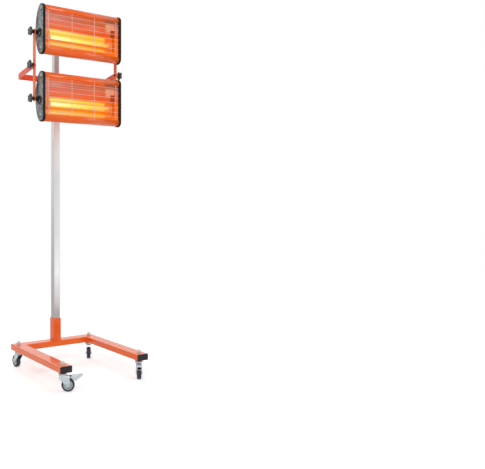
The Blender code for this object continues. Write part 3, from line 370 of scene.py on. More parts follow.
def scaled(tree, value, start, end, low=0.0, high=1.0, **settings):
    """A value's way from start to end, brought to the way from low to high."""
    inputs = {"Value": value, "From Min": start, "From Max": end, "To Min": low, "To Max": high}
    return node(tree, "ShaderNodeMapRange", inputs, **settings).outputs["Result"]


def smooth(tree, value, start, end):
    return scaled(tree, value, start, end, interpolation_type="SMOOTHSTEP")


def between(tree, value, low, high, soft):
    """1 where a value lies between two others, with soft ends."""
    rises = smooth(tree, value, low - soft, low + soft)
    return times(tree, rises, smooth(tree, value, high + soft, high - soft))


def mixed(tree, factor, first, second, **settings):
    """Two colours mixed, each either plain or another node's output."""
    inputs = {"Factor": factor, 6: first, 7: second}
    return node(tree, "ShaderNodeMix", inputs, data_type="RGBA", **settings).outputs[2]


def tinted(tree, share, colour, tint):
    return mixed(tree, share, colour, tint, blend_type="MULTIPLY")


def bump(tree, shader, height, strength, distance):
    made = node(tree, "ShaderNodeBump", {"Height": height, "Strength": strength, "Distance": distance})
    feed(tree, shader, {"Normal": made.outputs["Normal"]})


def coat(name, tones, cloud, roughness, relief, plain):
    """A surface whose tone and roughness drift with one noise, and whose relief follows another."""
    found, tree, shader = tree_of(name)
    drift = noise_of(tree, *cloud)
    colour = two_tones(tree, drift, *tones)
    feed(tree, shader, {"Base Color": colour, "Roughness": scaled(tree, drift, 0, 1, *roughness), **plain})
    grain, push = relief
    bump(tree, shader, noise_of(tree, *grain), *push)
    return found


def about(middle, offsets):
    return [middle + offset for offset in offsets]


def powder_coat(name, dark, light):
    """Glossy powder coat: a faint cloud in the colour and an orange-peel surface."""
    found, tree, shader = tree_of(name)
    inputs = {
        "Base Color": two_tones(tree, noise_of(tree, *POWDER_CLOUD), dark, light),
        "Roughness": scaled(tree, noise_of(tree, *POWDER_SHEEN), 0, 1, *POWDER_ROUGHNESS),
        "Specular IOR Level": 0.12,
        "Coat Weight": 1.0,
        "Coat IOR": 1.34,
        "Coat Roughness": 0.12,
    }
    feed(tree, shader, inputs)
    bump(tree, shader, noise_of(tree, *POWDER_PEEL), *PEEL_RELIEF)
    return found


def brushed_metal(name, dark, light, stretch, roughness, metallic=1.0):
    """Metal with fine lines along the axis whose stretch is smallest."""
    lines = (*METAL_LINES, stretch)
    rough = about(roughness, METAL_SPREAD)
    return coat(name, (dark, light), lines, rough, (lines, FINE_RELIEF), {"Metallic": metallic})


def zinc(name):
    """Bright zinc plate with the soft patches of a dipped part."""
    relief = (ZINC_GRAIN, FINE_RELIEF)
    return coat(name, ZINC_TONES, ZINC_PATCHES, ZINC_ROUGHNESS, relief, {"Metallic": 0.85})


def moulded(name, dark, light, roughness, grain=600.0, strength=0.15, gloss=0.5):
    """Moulded plastic or rubber with a fine grain."""
    rough = about(roughness, MOULD_SPREAD)
    relief = ((grain,), (strength, MOULD_DEPTH))
    return coat(name, (dark, light), MOULD_CLOUD, rough, relief, {"Specular IOR Level": gloss})


def mast_plate(name):
    """Satin plate with lines along the mast; painted reflections and shade make its tone drift with height,
    unlike on front and sides.
    """
    found, tree, shader = tree_of(name)
    share = scaled(tree, axes_of(tree)["Z"], 0, MAST_TOP)
    front = ramp(tree, share, [(z / MAST_TOP, tone) for z, tone in MAST_FRONT_PAINTED_LIGHT])
    sides = ramp(tree, share, [(z / MAST_TOP, tone) for z, tone in MAST_SIDE_PAINTED_LIGHT])
    sideways = calc(tree, "ABSOLUTE", axes_of(tree, "Normal")["X"], 0.0)
    lines = noise_of(tree, *METAL_LINES, MAST_STRETCH)
    plate = mixed(tree, sideways, front, sides)
    inputs = {
        "Base Color": mixed(tree, times(tree, lines, MAST_SHADE), plate, MAST_SHADE_TONE),
        "Roughness": scaled(tree, lines, 0, 1, *MAST_ROUGHNESS),
        "Metallic": 0.25,
        "Specular IOR Level": 0.25,
    }
    feed(tree, shader, inputs)
    bump(tree, shader, lines, *FINE_RELIEF)
    return found


def hammered(name, dark, light):
    """Hammered enamel: rounded dimples, and a metallic fleck that gathers in light patches."""
    found, tree, shader = tree_of(name)
    inputs = {"Vector": spread(tree, HAMMER_STRETCH), "Scale": DIMPLE_SCALE}
    dimples = node(tree, "ShaderNodeTexVoronoi", inputs, feature="SMOOTH_F1")
    flecks = noise_of(tree, *FLECKS, HAMMER_STRETCH)
    clusters = noise_of(tree, *FLECK_CLUSTERS, HAMMER_STRETCH)
    both = calc(tree, "ADD", flecks, times(tree, clusters, 0.5))
    colour = ramp(tree, both, zip(FLECK_STEPS, (dark, light, dark, light)))
    feed(tree, shader, {"Base Color": colour, "Roughness": 0.4, "Metallic": 0.3, "Coat Weight": 0.2})
    bump(tree, shader, dimples.outputs["Distance"], *DIMPLE_RELIEF)
    return found


# Painted reflections and shade on the mast's satin plate by height, on its front and on its sides
MAST_TOP = 1.5
MAST_FRONT_PAINTED_LIGHT = (
    (0.22, (0.46, 0.46, 0.45)),
    (0.27, (0.70, 0.70, 0.69)),
    (0.40, (1.00, 1.00, 1.00)),
    (0.55, (0.82, 0.82, 0.82)),
    (0.80, (0.70, 0.70, 0.70)),
    (1.00, (0.98, 0.97, 0.92)),
    (1.30, (0.56, 0.62, 0.64)),
)
MAST_SIDE_PAINTED_LIGHT = (
    (0.22, (0.48, 0.47, 0.47)),
    (0.50, (0.56, 0.56, 0.56)),
    (0.80, (0.76, 0.77, 0.77)),
    (1.00, (0.95, 0.94, 0.92)),
    (1.30, (0.86, 0.88, 0.92)),
)

# Tones of the painted light and reflections in the reflector
RED = (0.78, 0.10, 0.012)
DEEP_ORANGE = (0.84, 0.21, 0.018)
AMBER = (0.96, 0.64, 0.17)
YELLOW = (0.98, 0.79, 0.105)
OCHRE = (0.84, 0.55, 0.03)
PALE_YELLOW = (0.98, 0.80, 0.21)
FLAME = (0.92, 0.34, 0.08)
VERMILION = (0.84, 0.155, 0.048)
MAUVE = (0.74, 0.155, 0.095)
DUSK = (0.56, 0.125, 0.075)
PALE_MAUVE = (0.62, 0.19, 0.12)
PLAIN_ORANGE = (0.92, 0.15, 0.007)
SHADE = (0.36, 0.10, 0.055)

# Painted light on the reflector as seen through its mouth, by height over the pivot: its middle, then its
# right end.
# Three painted bright bands of the tube's reflected light lie round the tube and under it, and soft mauve
# painted reflections above.
LOWER_EDGE, UPPER_EDGE = -0.080, 0.080
LIT_BANDS = (
    (-0.068, RED),
    (-0.062, DEEP_ORANGE),
    (-0.056, AMBER),
    (-0.043, DEEP_ORANGE),
    (-0.036, DEEP_ORANGE),
    (-0.029, YELLOW),
    (-0.019, YELLOW),
    (-0.013, OCHRE),
    (-0.002, PALE_YELLOW),
    (0.003, FLAME),
    (0.009, RED),
    (0.016, VERMILION),
    (0.034, MAUVE),
    (0.041, MAUVE),
    (0.050, DUSK),
    (0.058, PALE_MAUVE),
    (0.068, DUSK),
    (0.078, VERMILION),
)
LIT_END_BANDS = (
    (0.002, PLAIN_ORANGE),
    (0.012, RED),
    (0.034, MAUVE),
    (0.056, PALE_MAUVE),
    (0.068, SHADE),
)

# Patches of painted reflection and shade near the lit reflector's right end: left, right, bottom, top,
# colour, strength
END_REFLECTION_AND_SHADE = (
    (0.110, 0.150, 0.030, 0.061, (0.84, 0.36, 0.18), 0.75),
    (0.134, 0.152, 0.008, 0.038, (0.36, 0.050, 0.006), 1.5),
    (0.137, 0.152, -0.054, 0.004, (0.60, 0.08, 0.003), 1.0),
)
# Places across and up the reflector where its painted light changes, with how soft their edges are
REFLECTOR_DEPTH = 0.056
SLANT = 0.6
RIPPLE = 0.006
WARM_FROM = -0.02
LEFT_STRIP = -0.158
RIGHT_END = 0.104
TUBE_LIGHT_TOP = 0.004
BEYOND = 0.40
WARM_SOFT = 0.08
END_SOFT = 0.008
TOP_SOFT = 0.006
SOFT = 0.004
# Painted light: a warmer tint of the tube's glow over the right part, and painted tones of the strip at the
# left end
WARM_TINT = (1.0, 0.70, 0.22)
WARM_SHARE = 0.85
STRIP_TONES = ((0.82, 0.13, 0.07), (0.62, 0.24, 0.20))
STRIP_SHARE = 0.7
DULL = (0.10, 0.10, 0.10)


def bands(tree, height, stops, drop):
    """Colours by height over the pivot."""
    share = scaled(tree, height, LOWER_EDGE - drop, UPPER_EDGE - drop)
    span = UPPER_EDGE - LOWER_EDGE
    return ramp(tree, share, [((height - LOWER_EDGE) / span, colour) for height, colour in stops])


def lit_reflector(name, lean, drop):
    """Polished sheet with a painted glow of the tube's light: yellow round the tube, mauve above it and
    orange at its ends.

    The bands are those that show at the mouth, so a point deeper in the trough takes its place there:
    it counts as lower by lean times its depth.
    """
    found, tree, shader = tree_of(name)
    axes = axes_of(tree)
    depth = calc(tree, "ADD", axes["Y"], REFLECTOR_DEPTH)
    height = less(tree, axes["Z"], times(tree, depth, lean))
    ripple = times(tree, noise_of(tree, *RIPPLES, (0.10, 1, 1)), RIPPLE)
    height = calc(tree, "ADD", height, less(tree, ripple, RIPPLE / 2))
    across = less(tree, axes["X"], times(tree, depth, SLANT))
    warm = times(tree, between(tree, across, WARM_FROM, BEYOND, WARM_SOFT), WARM_SHARE)
    colour = tinted(tree, warm, bands(tree, height, LIT_BANDS, drop), WARM_TINT)
    at_end = between(tree, across, RIGHT_END, BEYOND, END_SOFT)
    colour = mixed(tree, at_end, colour, bands(tree, height, LIT_END_BANDS, drop))
    above = between(tree, height, TUBE_LIGHT_TOP, BEYOND, TOP_SOFT)
    left = less(tree, 1.0, between(tree, across, LEFT_STRIP, BEYOND, SOFT))
    strip = mixed(tree, above, *STRIP_TONES)
    colour = mixed(tree, times(tree, left, STRIP_SHARE), colour, strip)
    streaks = noise_of(tree, *STREAKS, (1, 0.1, 0.1))
    # Painted reflection and shade in patches near the right end
    for low, high, bottom, top, tone, strength in END_REFLECTION_AND_SHADE:
        patch = between(tree, across, low, high, SOFT)
        band = between(tree, height, bottom - drop, top - drop, SOFT)
        uneven = times(tree, times(tree, patch, band), times(tree, streaks, 2 * strength))
        colour = mixed(tree, uneven, colour, tone)
    # The painted light shows as the sheet's own glow
    inputs = {
        "Emission Color": colour,
        "Emission Strength": 0.95,
        "Base Color": tinted(tree, 1.0, colour, DULL),
        "Specular IOR Level": 0.25,
        "Roughness": 0.3,
    }
    feed(tree, shader, inputs)
    bump(tree, shader, noise_of(tree, *DENTS, (0.15, 1, 1)), *DENT_RELIEF)
    return found


def with_painted_tube_glow(name, dark, light, roughness, strength):
    """A part close to the glowing tube, with the tube's light on it painted in as colour and glow."""
    found = moulded(name, dark, light, roughness, 500.0, 0.3)
    shader = found.node_tree.nodes["Principled BSDF"]
    colour = shader.inputs["Base Color"].links[0].from_socket
    feed(found.node_tree, shader, {"Emission Color": colour, "Emission Strength": strength})
    return found


# Hot quartz by share of the tube's length, whiter at its left end
QUARTZ_PER_METRE = 3.3
QUARTZ_STRENGTHS = (0.816, 1.104)
QUARTZ_STRETCH = (30, 400, 400)
QUARTZ_TONES = (
    (0.12, (1.0, 0.94, 0.48)),
    (0.40, (1.0, 0.74, 0.12)),
    (0.65, (1.0, 0.54, 0.07)),
    (0.90, (1.0, 0.38, 0.04)),
)


def hot_quartz(name):
    found, tree, shader = tree_of(name)
    share = times(tree, axes_of(tree)["X"], QUARTZ_PER_METRE)
    streak = noise_of(tree, 1.0, stretch=QUARTZ_STRETCH)
    inputs = {
        "Base Color": (0.30, 0.24, 0.08),
        "Emission Color": ramp(tree, share, QUARTZ_TONES),
        "Emission Strength": scaled(tree, streak, 0, 1, *QUARTZ_STRENGTHS),
        "Roughness": 0.1,
    }
    feed(tree, shader, inputs)
    return found


ORANGE = powder_coat("orange_powder_coat", (0.84, 0.112, 0.004), (0.90, 0.136, 0.006))
# The same orange powder coat made redder as painted shade, for the yoke; the bracket shares it
SHADED_ORANGE = powder_coat("orange_powder_coat_in_painted_shade", (0.78, 0.055, 0.004), (0.84, 0.075, 0.006))
ZINC = zinc("bright_zinc")
MAST = mast_plate("satin_mast")
# The nuts' warm tint is a painted reflection of the orange stand
NUT = brushed_metal("nut_with_painted_warm_reflection", (0.56, 0.47, 0.40), (0.76, 0.65, 0.56), (500, 500, 500), 0.38, 0.5)
BLACK = moulded("black_plastic", (0.007, 0.006, 0.008), (0.017, 0.015, 0.019), 0.42, gloss=0.3)
KNOB_GREY = moulded("grey_knob", (0.028, 0.030, 0.031), (0.055, 0.058, 0.060), 0.34)
CAP_FACE = hammered("hammered_face", (0.014, 0.016, 0.017), (0.28, 0.305, 0.305))
CAP_RIM = moulded("dark_rim", (0.004, 0.004, 0.004), (0.009, 0.008, 0.008), 0.5, gloss=0.15)
RUBBER = moulded("tyre_rubber", (0.008, 0.018, 0.030), (0.018, 0.036, 0.058), 0.62, 900.0, 0.3)
HUB = moulded("hub_plastic", (0.42, 0.47, 0.46), (0.56, 0.62, 0.60), 0.42)
REFLECTORS = {
    "upper": lit_reflector("lit_reflector_upper", 0.318, 0.0),
    "lower": lit_reflector("lit_reflector_lower", 0.19, 0.004),
}
QUARTZ = hot_quartz("lit_quartz")
# The ceramics and holder plates are tinted orange and glow with the tube's painted light
CERAMIC = with_painted_tube_glow("fired_ceramic", (0.62, 0.24, 0.09), (0.80, 0.40, 0.18), 0.5, 0.35)
HOLDER_PLATE = with_painted_tube_glow("holder_plate", (0.50, 0.14, 0.02), (0.66, 0.24, 0.05), 0.35, 0.40)
SCREW = brushed_metal("bright_screw", (0.45, 0.46, 0.46), (0.66, 0.67, 0.66), (600, 600, 600), 0.3)
# The wires' pink tone is painted red light from the lamp
WIRES = brushed_metal("bright_wire", (0.72, 0.36, 0.28), (0.85, 0.49, 0.38), (30, 900, 900), 0.35, 0.4)


# Shapes

WELD = 1e-6
NEAR = 1e-5
ON_AXIS = 1e-7
LEFT_RIGHT = (-1, 1)
TOP_BOTTOM = (1, -1)
CHAMFER_MARGIN = 1e-4
CHAMFER_FLAT = 0.84
CHAMFER_WIDE = 1.04
CHAMFER_START = 0.72
BEVEL_ANGLE = math.radians(40)
LAY = {
    "Z": Matrix.Identity(4),
    "X": Matrix(((0, 0, 1, 0), (1, 0, 0, 0), (0, 1, 0, 0), (0, 0, 0, 1))),
    "Y": Matrix(((1, 0, 0, 0), (0, 0, 1, 0), (0, 1, 0, 0), (0, 0, 0, 1))),
}


def shift(x, y, z):
    return Matrix.Translation((x, y, z))


def along(direction):
    """The turn that lays a shape's Z axis along a direction."""
    return Vector(direction).to_track_quat("Z", "Y").to_matrix().to_4x4()


def arc(centre, radius, start, end, steps):
    points = []
    for step in range(steps + 1):
        angle = math.radians(start + (end - start) * step / steps)
        points.append((centre[0] + radius * math.cos(angle), centre[1] + radius * math.sin(angle)))
    return points


def rounded(width, height, radius, steps=6):
    """The outline of a rectangle with round corners about the origin."""
    x, y = width / 2 - radius, height / 2 - radius
    outline = []
    for turn, corner in enumerate(((x, y), (-x, y), (-x, -y), (x, -y))):
        outline += arc(corner, radius, 90 * turn, 90 * turn + 90, steps)
    return outline


def rectangle(left, right, bottom, top):
    return [(left, bottom), (right, bottom), (right, top), (left, top)]


def with_mirror(points, flip):
    """A line of points that goes on with its own mirror image."""
    return points + [(x * flip[0], y * flip[1]) for x, y in reversed(points)]


def saved(form):
    """The mesh of a shape under construction."""
    mesh = bpy.data.meshes.new("shape")
    form.to_mesh(mesh)
    form.free()
    return mesh


def closed(form):
    """The mesh of a closed shape: welded, its faces outward."""
    bmesh.ops.remove_doubles(form, verts=form.verts, dist=WELD)
    bmesh.ops.recalc_face_normals(form, faces=form.faces)
    if form.calc_volume(signed=True) < 0:
        bmesh.ops.reverse_faces(form, faces=form.faces)
    return saved(form)


def ring(form, outline, height):
    return [form.verts.new((x, y, height)) for x, y in outline]


def wall(form, lower, upper):
    """Faces between two closed rings of corners."""
    for index in range(len(lower)):
        after = (index + 1) % len(lower)
        form.faces.new((lower[index], lower[after], upper[after], upper[index]))


def prism(outline, low, high, axis="Z", hole=None):
    """A flat outline given a thickness: (x, y) along Z, (y, z) along X and (x, z) along Y."""
    form = bmesh.new()
    walls = [[ring(form, points, height) for height in (low, high)] for points in (outline, hole) if points]
    for lower, upper in walls:
        wall(form, lower, upper)
    if hole:
        for outer, inner in zip(*walls):
            wall(form, outer, inner)
    else:
        for end in walls[0]:
            form.faces.new(end)
    form.transform(LAY[axis])
    return closed(form)


def square_tube(size, bore, corners, low, high):
    outer, inner = corners
    return prism(rounded(size, size, outer), low, high, hole=rounded(bore, bore, inner))


def bent_strip(outside, inside, low, high, axis="Z"):
    """A sheet bent to a U, from one half of its outer line and one of its inner line."""
    outline = with_mirror(outside, LEFT_RIGHT) + with_mirror(inside, LEFT_RIGHT)[::-1]
    return prism(outline, low, high, axis)


def turned(profile, steps=48):
    """A solid turned about Z from points (radius, height)."""
    form = bmesh.new()
    corners = [form.verts.new((max(radius, ON_AXIS), 0.0, height)) for radius, height in profile]
    edges = [form.edges.new(pair) for pair in zip(corners, corners[1:])]
    if profile[0][0] > WELD:
        edges.append(form.edges.new((corners[-1], corners[0])))
    turn = {"cent": (0, 0, 0), "axis": (0, 0, 1), "angle": math.tau, "steps": steps}
    bmesh.ops.spin(form, geom=corners + edges, **turn)
    return closed(form)


def sweep(path, low, high):
    """An open path of (y, z) points, given its width along X."""
    form = bmesh.new()
    near = [form.verts.new((low, y, z)) for y, z in path]
    far = [form.verts.new((high, y, z)) for y, z in path]
    for index in range(len(path) - 1):
        form.faces.new((near[index], near[index + 1], far[index + 1], far[index]))
    return saved(form)


def merged(meshes):
    form = bmesh.new()
    for mesh in meshes:
        form.from_mesh(mesh)
        bpy.data.meshes.remove(mesh)
    return saved(form)


def moved(mesh, place):
    mesh.transform(place)
    return mesh


def added(name, data):
    """A new object in the scene."""
    obj = bpy.data.objects.new(name, data)
    bpy.context.scene.collection.objects.link(obj)
    return obj


def cut_by(mesh, tool, operation):
    """The mesh after a Boolean with another mesh; both meshes are used up."""
    subject, cutter = added("subject", mesh), added("cutter", tool)
    modifier = subject.modifiers.new("Cut", "BOOLEAN")
    modifier.operation = operation
    modifier.object = cutter
    graph = bpy.context.evaluated_depsgraph_get()
    result = bpy.data.meshes.new_from_object(subject.evaluated_get(graph))
    for obj in (subject, cutter):
        bpy.data.objects.remove(obj)
    return result


def bevel(obj, width, segments, method):
    modifier = obj.modifiers.new("Edges", "BEVEL")
    modifier.width = width
    modifier.segments = segments
    modifier.limit_method = method
    modifier.angle_limit = BEVEL_ANGLE
    modifier.harden_normals = True


def piece(name, mesh, look, body, stands_for=(), place=None, edge=0.0, sharp=35):
    """A finished piece: material, smooth shading, rounded edges, and the body it rides on."""
    if place is not None:
        mesh.transform(place.to_3x3().to_4x4())
    mesh.name = name
    obj = added(name, mesh)
    mesh.materials.clear()
    mesh.materials.append(look)
    mesh.shade_smooth()
    mesh.set_sharp_from_angle(angle=math.radians(sharp))
    if place is not None:
        obj.location = place.translation
    if edge:
        bevel(obj, edge, 3, "ANGLE")
    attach(obj, body)
    if stands_for:
        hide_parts(*stands_for)
    return obj


def solid_sheet(obj, thickness):
    modifier = obj.modifiers.new("Sheet", "SOLIDIFY")
    modifier.thickness = thickness
    modifier.offset = -1.0
    modifier.use_even_offset = True


def hex_head(radius, height):
    """A hexagon head, chamfered on top."""
    head = prism(arc((0, 0), radius, 0, 300, 5), 0.0, height)
    top, wide = height + CHAMFER_MARGIN, radius * CHAMFER_WIDE
    chamfer = [(0, top), (radius * CHAMFER_FLAT, top), (wide, height * CHAMFER_START)]
    chamfer += [(wide, -CHAMFER_MARGIN), (0, -CHAMFER_MARGIN)]
    return cut_by(head, turned(chamfer), "INTERSECT")


def pan_screw(radius, height):
    """A pan head with a cross recess."""
    profile = [(radius * across, height * up) for across, up in PAN_CURVE]
    profile += [(radius, -GAP), (0, -GAP)]
    head = turned(profile, 32)
    length, width = radius * CROSS_LENGTH, radius * CROSS_WIDTH
    for turn in (0, 90):
        bar = prism(rectangle(-length, length, -width, width), height * CROSS_FLOOR, height * CROSS_TOP)
        head = cut_by(head, moved(bar, Matrix.Rotation(math.radians(turn), 4, "Z")), "DIFFERENCE")
    return head


# Stand

STAND_LOW, STAND_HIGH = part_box("base_frame")
STAND_BACK = STAND_HIGH.y
STAND_TOP = STAND_LOW.z + TUBE_HEIGHT
MAST_AT = (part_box("mast_outer")[0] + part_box("mast_outer")[1]) / 2
AT_MAST = shift(0, MAST_AT.y, 0)


def soften_long_edges(obj):
    """Rounds every edge of the stand but the cut ends of its legs."""
    layer = obj.data.attributes.new("bevel_weight_edge", "FLOAT", "EDGE")
    for edge in obj.data.edges:
        ends = [obj.data.vertices[index].co.y for index in edge.vertices]
        at_front = max(ends) < STAND_LOW.y + NEAR
        layer.data[edge.index].value = 0.0 if at_front else 1.0
    bevel(obj, TUBE_ROUND, 5, "WEIGHT")


def weld_bead(name, points, body, cyclic=False, look=ORANGE):
    """A painted weld bead that follows the joint of two tubes."""
    curve = bpy.data.curves.new(name, "CURVE")
    curve.dimensions = "3D"
    curve.bevel_depth = BEAD
    curve.bevel_resolution = 3
    curve.use_fill_caps = True
    spline = curve.splines.new("POLY")
    spline.points.add(len(points) - 1)
    for point, place in zip(spline.points, points):
        point.co = (*place, 1.0)
        point.radius = BEAD_LEAST + 0.5 * noise.noise(Vector(place) * BEAD_WAVES)
    spline.use_cyclic_u = cyclic
    obj = added(name, curve)
    curve.materials.append(look)
    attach(obj, body)


def line(start, end, steps):
    start, end = Vector(start), Vector(end)
    return [tuple(start.lerp(end, step / steps)) for step in range(steps + 1)]


def make_stand():
    inner, inner_back = STAND_HIGH.x - TUBE_WIDTH, STAND_BACK - TUBE_WIDTH
    outline = with_mirror([(STAND_HIGH.x, STAND_LOW.y), (STAND_HIGH.x, STAND_BACK)], LEFT_RIGHT)
    outline += with_mirror([(-inner, STAND_LOW.y), (-inner, inner_back)], LEFT_RIGHT)
    tube = prism(outline, STAND_LOW.z, STAND_TOP)
    stand = piece("stand_tube", tube, ORANGE, "stand", ["base_frame"], sharp=60)
    soften_long_edges(stand)
    bore = SOCKET_SIZE - 2 * SOCKET_WALL
    low = STAND_TOP - SOCKET_WALL
    socket = square_tube(SOCKET_SIZE, bore, MAST_CORNERS, low, STAND_HIGH.z)
    piece("mast_socket", socket, ORANGE, "stand", place=AT_MAST, edge=SHEET_EDGE)
    loop = rounded(SOCKET_SIZE + BEAD, SOCKET_SIZE + BEAD, MAST_ROUND, 8)
    corners = [(x, MAST_AT.y + y, STAND_TOP) for x, y in loop]
    seam = []
    for start, end in zip(corners, corners[1:] + corners[:1]):
        seam += line(start, end, 6)[:-1]
    weld_bead("socket_weld", seam, "stand", cyclic=True)
    low, high = STAND_LOW.z + TUBE_ROUND, STAND_TOP - TUBE_ROUND
    y = inner_back - BEAD_INSET
    for side, name in SIDES:
        x = side * inner - side * BEAD_INSET
        weld_bead(f"corner_weld_{name}", line((x, y, low), (x, y, high), 40), "stand")
    place = shift(0, MAST_AT.y + SOCKET_SIZE / 2, STAND_TOP + SOCKET_SCREW_RISE) @ along((0, 1, 0))
    piece("socket_screw", hex_head(*SOCKET_SCREW), ZINC, "stand", place=place, edge=FINE_EDGE)
    for side, name in SIDES:
        node_name = f"leg_end_plug_{name}"
        low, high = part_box(node_name)
        place = shift(side * (STAND_HIGH.x - TUBE_WIDTH / 2), 0, STAND_LOW.z + TUBE_HEIGHT / 2)
        outline = rounded(TUBE_WIDTH, TUBE_HEIGHT, TUBE_ROUND)
        plate = prism(outline, low.y, low.y + PLUG_PLATE, "Y")
        piece(f"leg_plug_{name}", plate, BLACK, "stand", [node_name], place, edge=PLUG_EDGE)


# Casters


def caster_frame(name):
    """A caster's own frame: over its swivel axis, X along the way its wheel trails."""
    swivel = Vector(JOINTS[f"swivel_{name}"]["pos_m"])
    wheel = Vector(JOINTS[f"roll_{name}"]["pos_m"])
    trail = wheel - swivel
    turn = math.atan2(trail.y, trail.x)
    return shift(swivel.x, swivel.y, 0) @ Matrix.Rotation(turn, 4, "Z")


def make_nut(name, place):
    """A washer, an acorn nut, and the stem that goes down through the tube to the fork."""
    seat = STAND_TOP + GAP
    hexagon = hex_head(NUT_FLATS / math.sqrt(3), NUT_HEIGHT - NUT_CHAMFER)
    radius = NUT_FLATS * DOME_SHARE
    dome = [(0, NUT_HEIGHT + NUT_DOME)]
    for step in range(1, 13):
        angle = math.radians(90 - 90 * step / 12)
        dome.append((radius * math.cos(angle), NUT_HEIGHT + NUT_DOME * math.sin(angle)))
    dome += [(radius, NUT_HEIGHT - NUT_CHAMFER), (0, NUT_HEIGHT - NUT_CHAMFER)]
    nut = merged([turned(WASHER), moved(hexagon, shift(0, 0, NUT_SEAT)), turned(dome)])
    stem = turned([(0, seat), (STEM_RADIUS, seat), *STEM])
    both = merged([moved(nut, shift(0, 0, seat)), stem])
    piece(f"acorn_nut_{name}", both, NUT, "stand", [f"caster_stem_{name}"], place)


def make_fork(name, place, front):
    """A fork bent from one strip, with two cheeks that round over into the crown, and its race cover."""
    outer = FORK_GAP / 2 + FORK_SHEET
    centre = (-outer + FORK_BEND, FORK_TOP - FORK_BEND)
    outside = [(-outer, FORK_BOTTOM), *arc(centre, FORK_BEND, 180, 90, 8)]
    inside = [(-outer + FORK_SHEET, FORK_BOTTOM), *arc(centre, FORK_BEND - FORK_SHEET, 180, 90, 8)]
    strip = bent_strip(outside, inside, *FORK_STRIP, "X")
    skirt = FORK_TOP - FORK_SKIRT
    outline = [(-FORK_BACK, FORK_TOP), (-FORK_BACK, skirt)]
    outline += [*arc((TRAIL, WHEEL_RADIUS), FORK_EYE, 215, 370, 20), (front, skirt), (front, FORK_TOP)]
    side = prism(outline, -outer - OVERLAP, outer + OVERLAP, "Y")
    fork = cut_by(strip, side, "INTERSECT")
    body = f"caster_{name}"
    piece(f"fork_{name}", fork, ZINC, body, [f"caster_fork_{name}"], place, PRESSED_EDGE)
    piece(f"race_{name}", turned(RACE), ZINC, body, place=place)


def make_axle(name, place):
    axle = turned(with_mirror(AXLE_HALF, TOP_BOTTOM))
    piece(f"axle_{name}", axle, ZINC, f"caster_{name}", [f"caster_axle_{name}"], place)


def make_wheel(name, place):
    body = f"wheel_{name}"
    profile = [*TYRE_BEAD, *arc(TYRE_SHOULDER, TYRE_ROUND, 84, 6, 6), TREAD_EDGE]
    tyre = turned(with_mirror(profile, TOP_BOTTOM), 64)
    piece(f"tyre_{name}", tyre, RUBBER, body, [f"caster_tyre_{name}"], place)
    parts = [turned(with_mirror(HUB_HALF, TOP_BOTTOM), 64)]
    for index in range(HUB_RIBS):
        rib = prism(rectangle(*RIB), -RIB_HALF, RIB_HALF)
        parts.append(moved(rib, Matrix.Rotation(math.tau * index / HUB_RIBS, 4, "Z")))
    piece(f"hub_{name}", merged(parts), HUB, body, [f"caster_hub_{name}"], place)


def make_pedal(name, place):
    """A pressed brake lever: a top plate between two deeper cheeks, with a serrated lip."""
    half = FORK_GAP / 2 - PEDAL_MARGIN
    middle = half - PEDAL_SHEET / 2
    parts = []
    for side, _ in SIDES:
        faces = sorted((side * half, side * (half - PEDAL_SHEET)))
        parts.append(prism(PEDAL_UNDER + PEDAL_LIP + PEDAL_TOP, *faces, "Y"))
    plate = PEDAL_LIP + PEDAL_TOP + [(x, z - PEDAL_SHEET) for x, z in reversed(PEDAL_TOP)]
    parts.append(prism(plate + [PEDAL_LIP_FOOT], -middle, middle, "Y"))
    parts.append(prism(PEDAL_SHOE, -middle, middle, "Y"))
    for index in range(PEDAL_RIDGES):
        x, foot = (start + index * step for start, step in zip(RIDGE_AT, RIDGE_STEP))
        end, top = x + RIDGE[0], foot + RIDGE[1]
        ridge = [(x, foot), (end, foot), (end, top), (x, top - RIDGE_FALL)]
        parts.append(prism(ridge, -half + PEDAL_MARGIN, half - PEDAL_MARGIN, "Y"))
    body = f"brake_{name}"
    piece(f"pedal_{name}", merged(parts), ZINC, body, [f"brake_pedal_{name}"], place, PRESSED_EDGE)


def make_casters():
    for name in ("front_left", "front_right", "rear_left", "rear_right"):
        place = caster_frame(name)
        axle = place @ shift(TRAIL, 0, WHEEL_RADIUS) @ along((0, 1, 0))
        brake = f"brake_{name}" in JOINTS
        make_nut(name, place)
        make_fork(name, place, BRAKED_FORK_FRONT if brake else FORK_FRONT)
        make_axle(name, axle)
        make_wheel(name, axle)
        if brake:
            make_pedal(name, place)


# Mast


def make_mast():
    for name, body in (("mast_outer", "stand"), ("mast_inner", "mast_slider")):
        low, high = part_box(name)
        size = high.x - low.x
        tube = square_tube(size, size - 2 * MAST_WALL, MAST_CORNERS, low.z, high.z)
        piece(f"{name}_tube", tube, MAST, body, [name], AT_MAST, sharp=50)
    low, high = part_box("mast_top_plug")
    size = high.x - low.x
    top = prism(rounded(size, size, MAST_ROUND), high.z - TOP_PLUG, high.z)
    piece("top_plug", top, BLACK, "mast_slider", ["mast_top_plug"], AT_MAST, edge=TOP_PLUG_EDGE)
    low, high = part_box("mast_collar")
    size, lip_z = high.x - low.x, high.z - COLLAR_LIP
    body = square_tube(size, COLLAR_BORE, (COLLAR_ROUND, MAST_ROUND), low.z, lip_z)
    piece("collar_body", body, BLACK, "stand", ["mast_collar"], AT_MAST, edge=COLLAR_EDGE)
    lip = square_tube(size, COLLAR_LIP_BORE, (COLLAR_ROUND, MAST_ROUND / 2), lip_z, high.z)
    piece("collar_lip", lip, BLACK, "stand", place=AT_MAST, edge=COLLAR_EDGE)
    clamp_z = JOINTS["mast_clamp_turn"]["pos_m"][2]
    seat = shift(0, MAST_AT.y + size / 2 - OVERLAP, clamp_z) @ along((0, 1, 0))
    piece("collar_boss", turned(COLLAR_BOSS), BLACK, "stand", place=seat)


# Yoke and bars

YOKE_BACK = MAST_AT.y - YOKE_BEHIND_MAST
CROSSBAR_Z = JOINTS["bracket_clamp_turn"]["pos_m"][2]


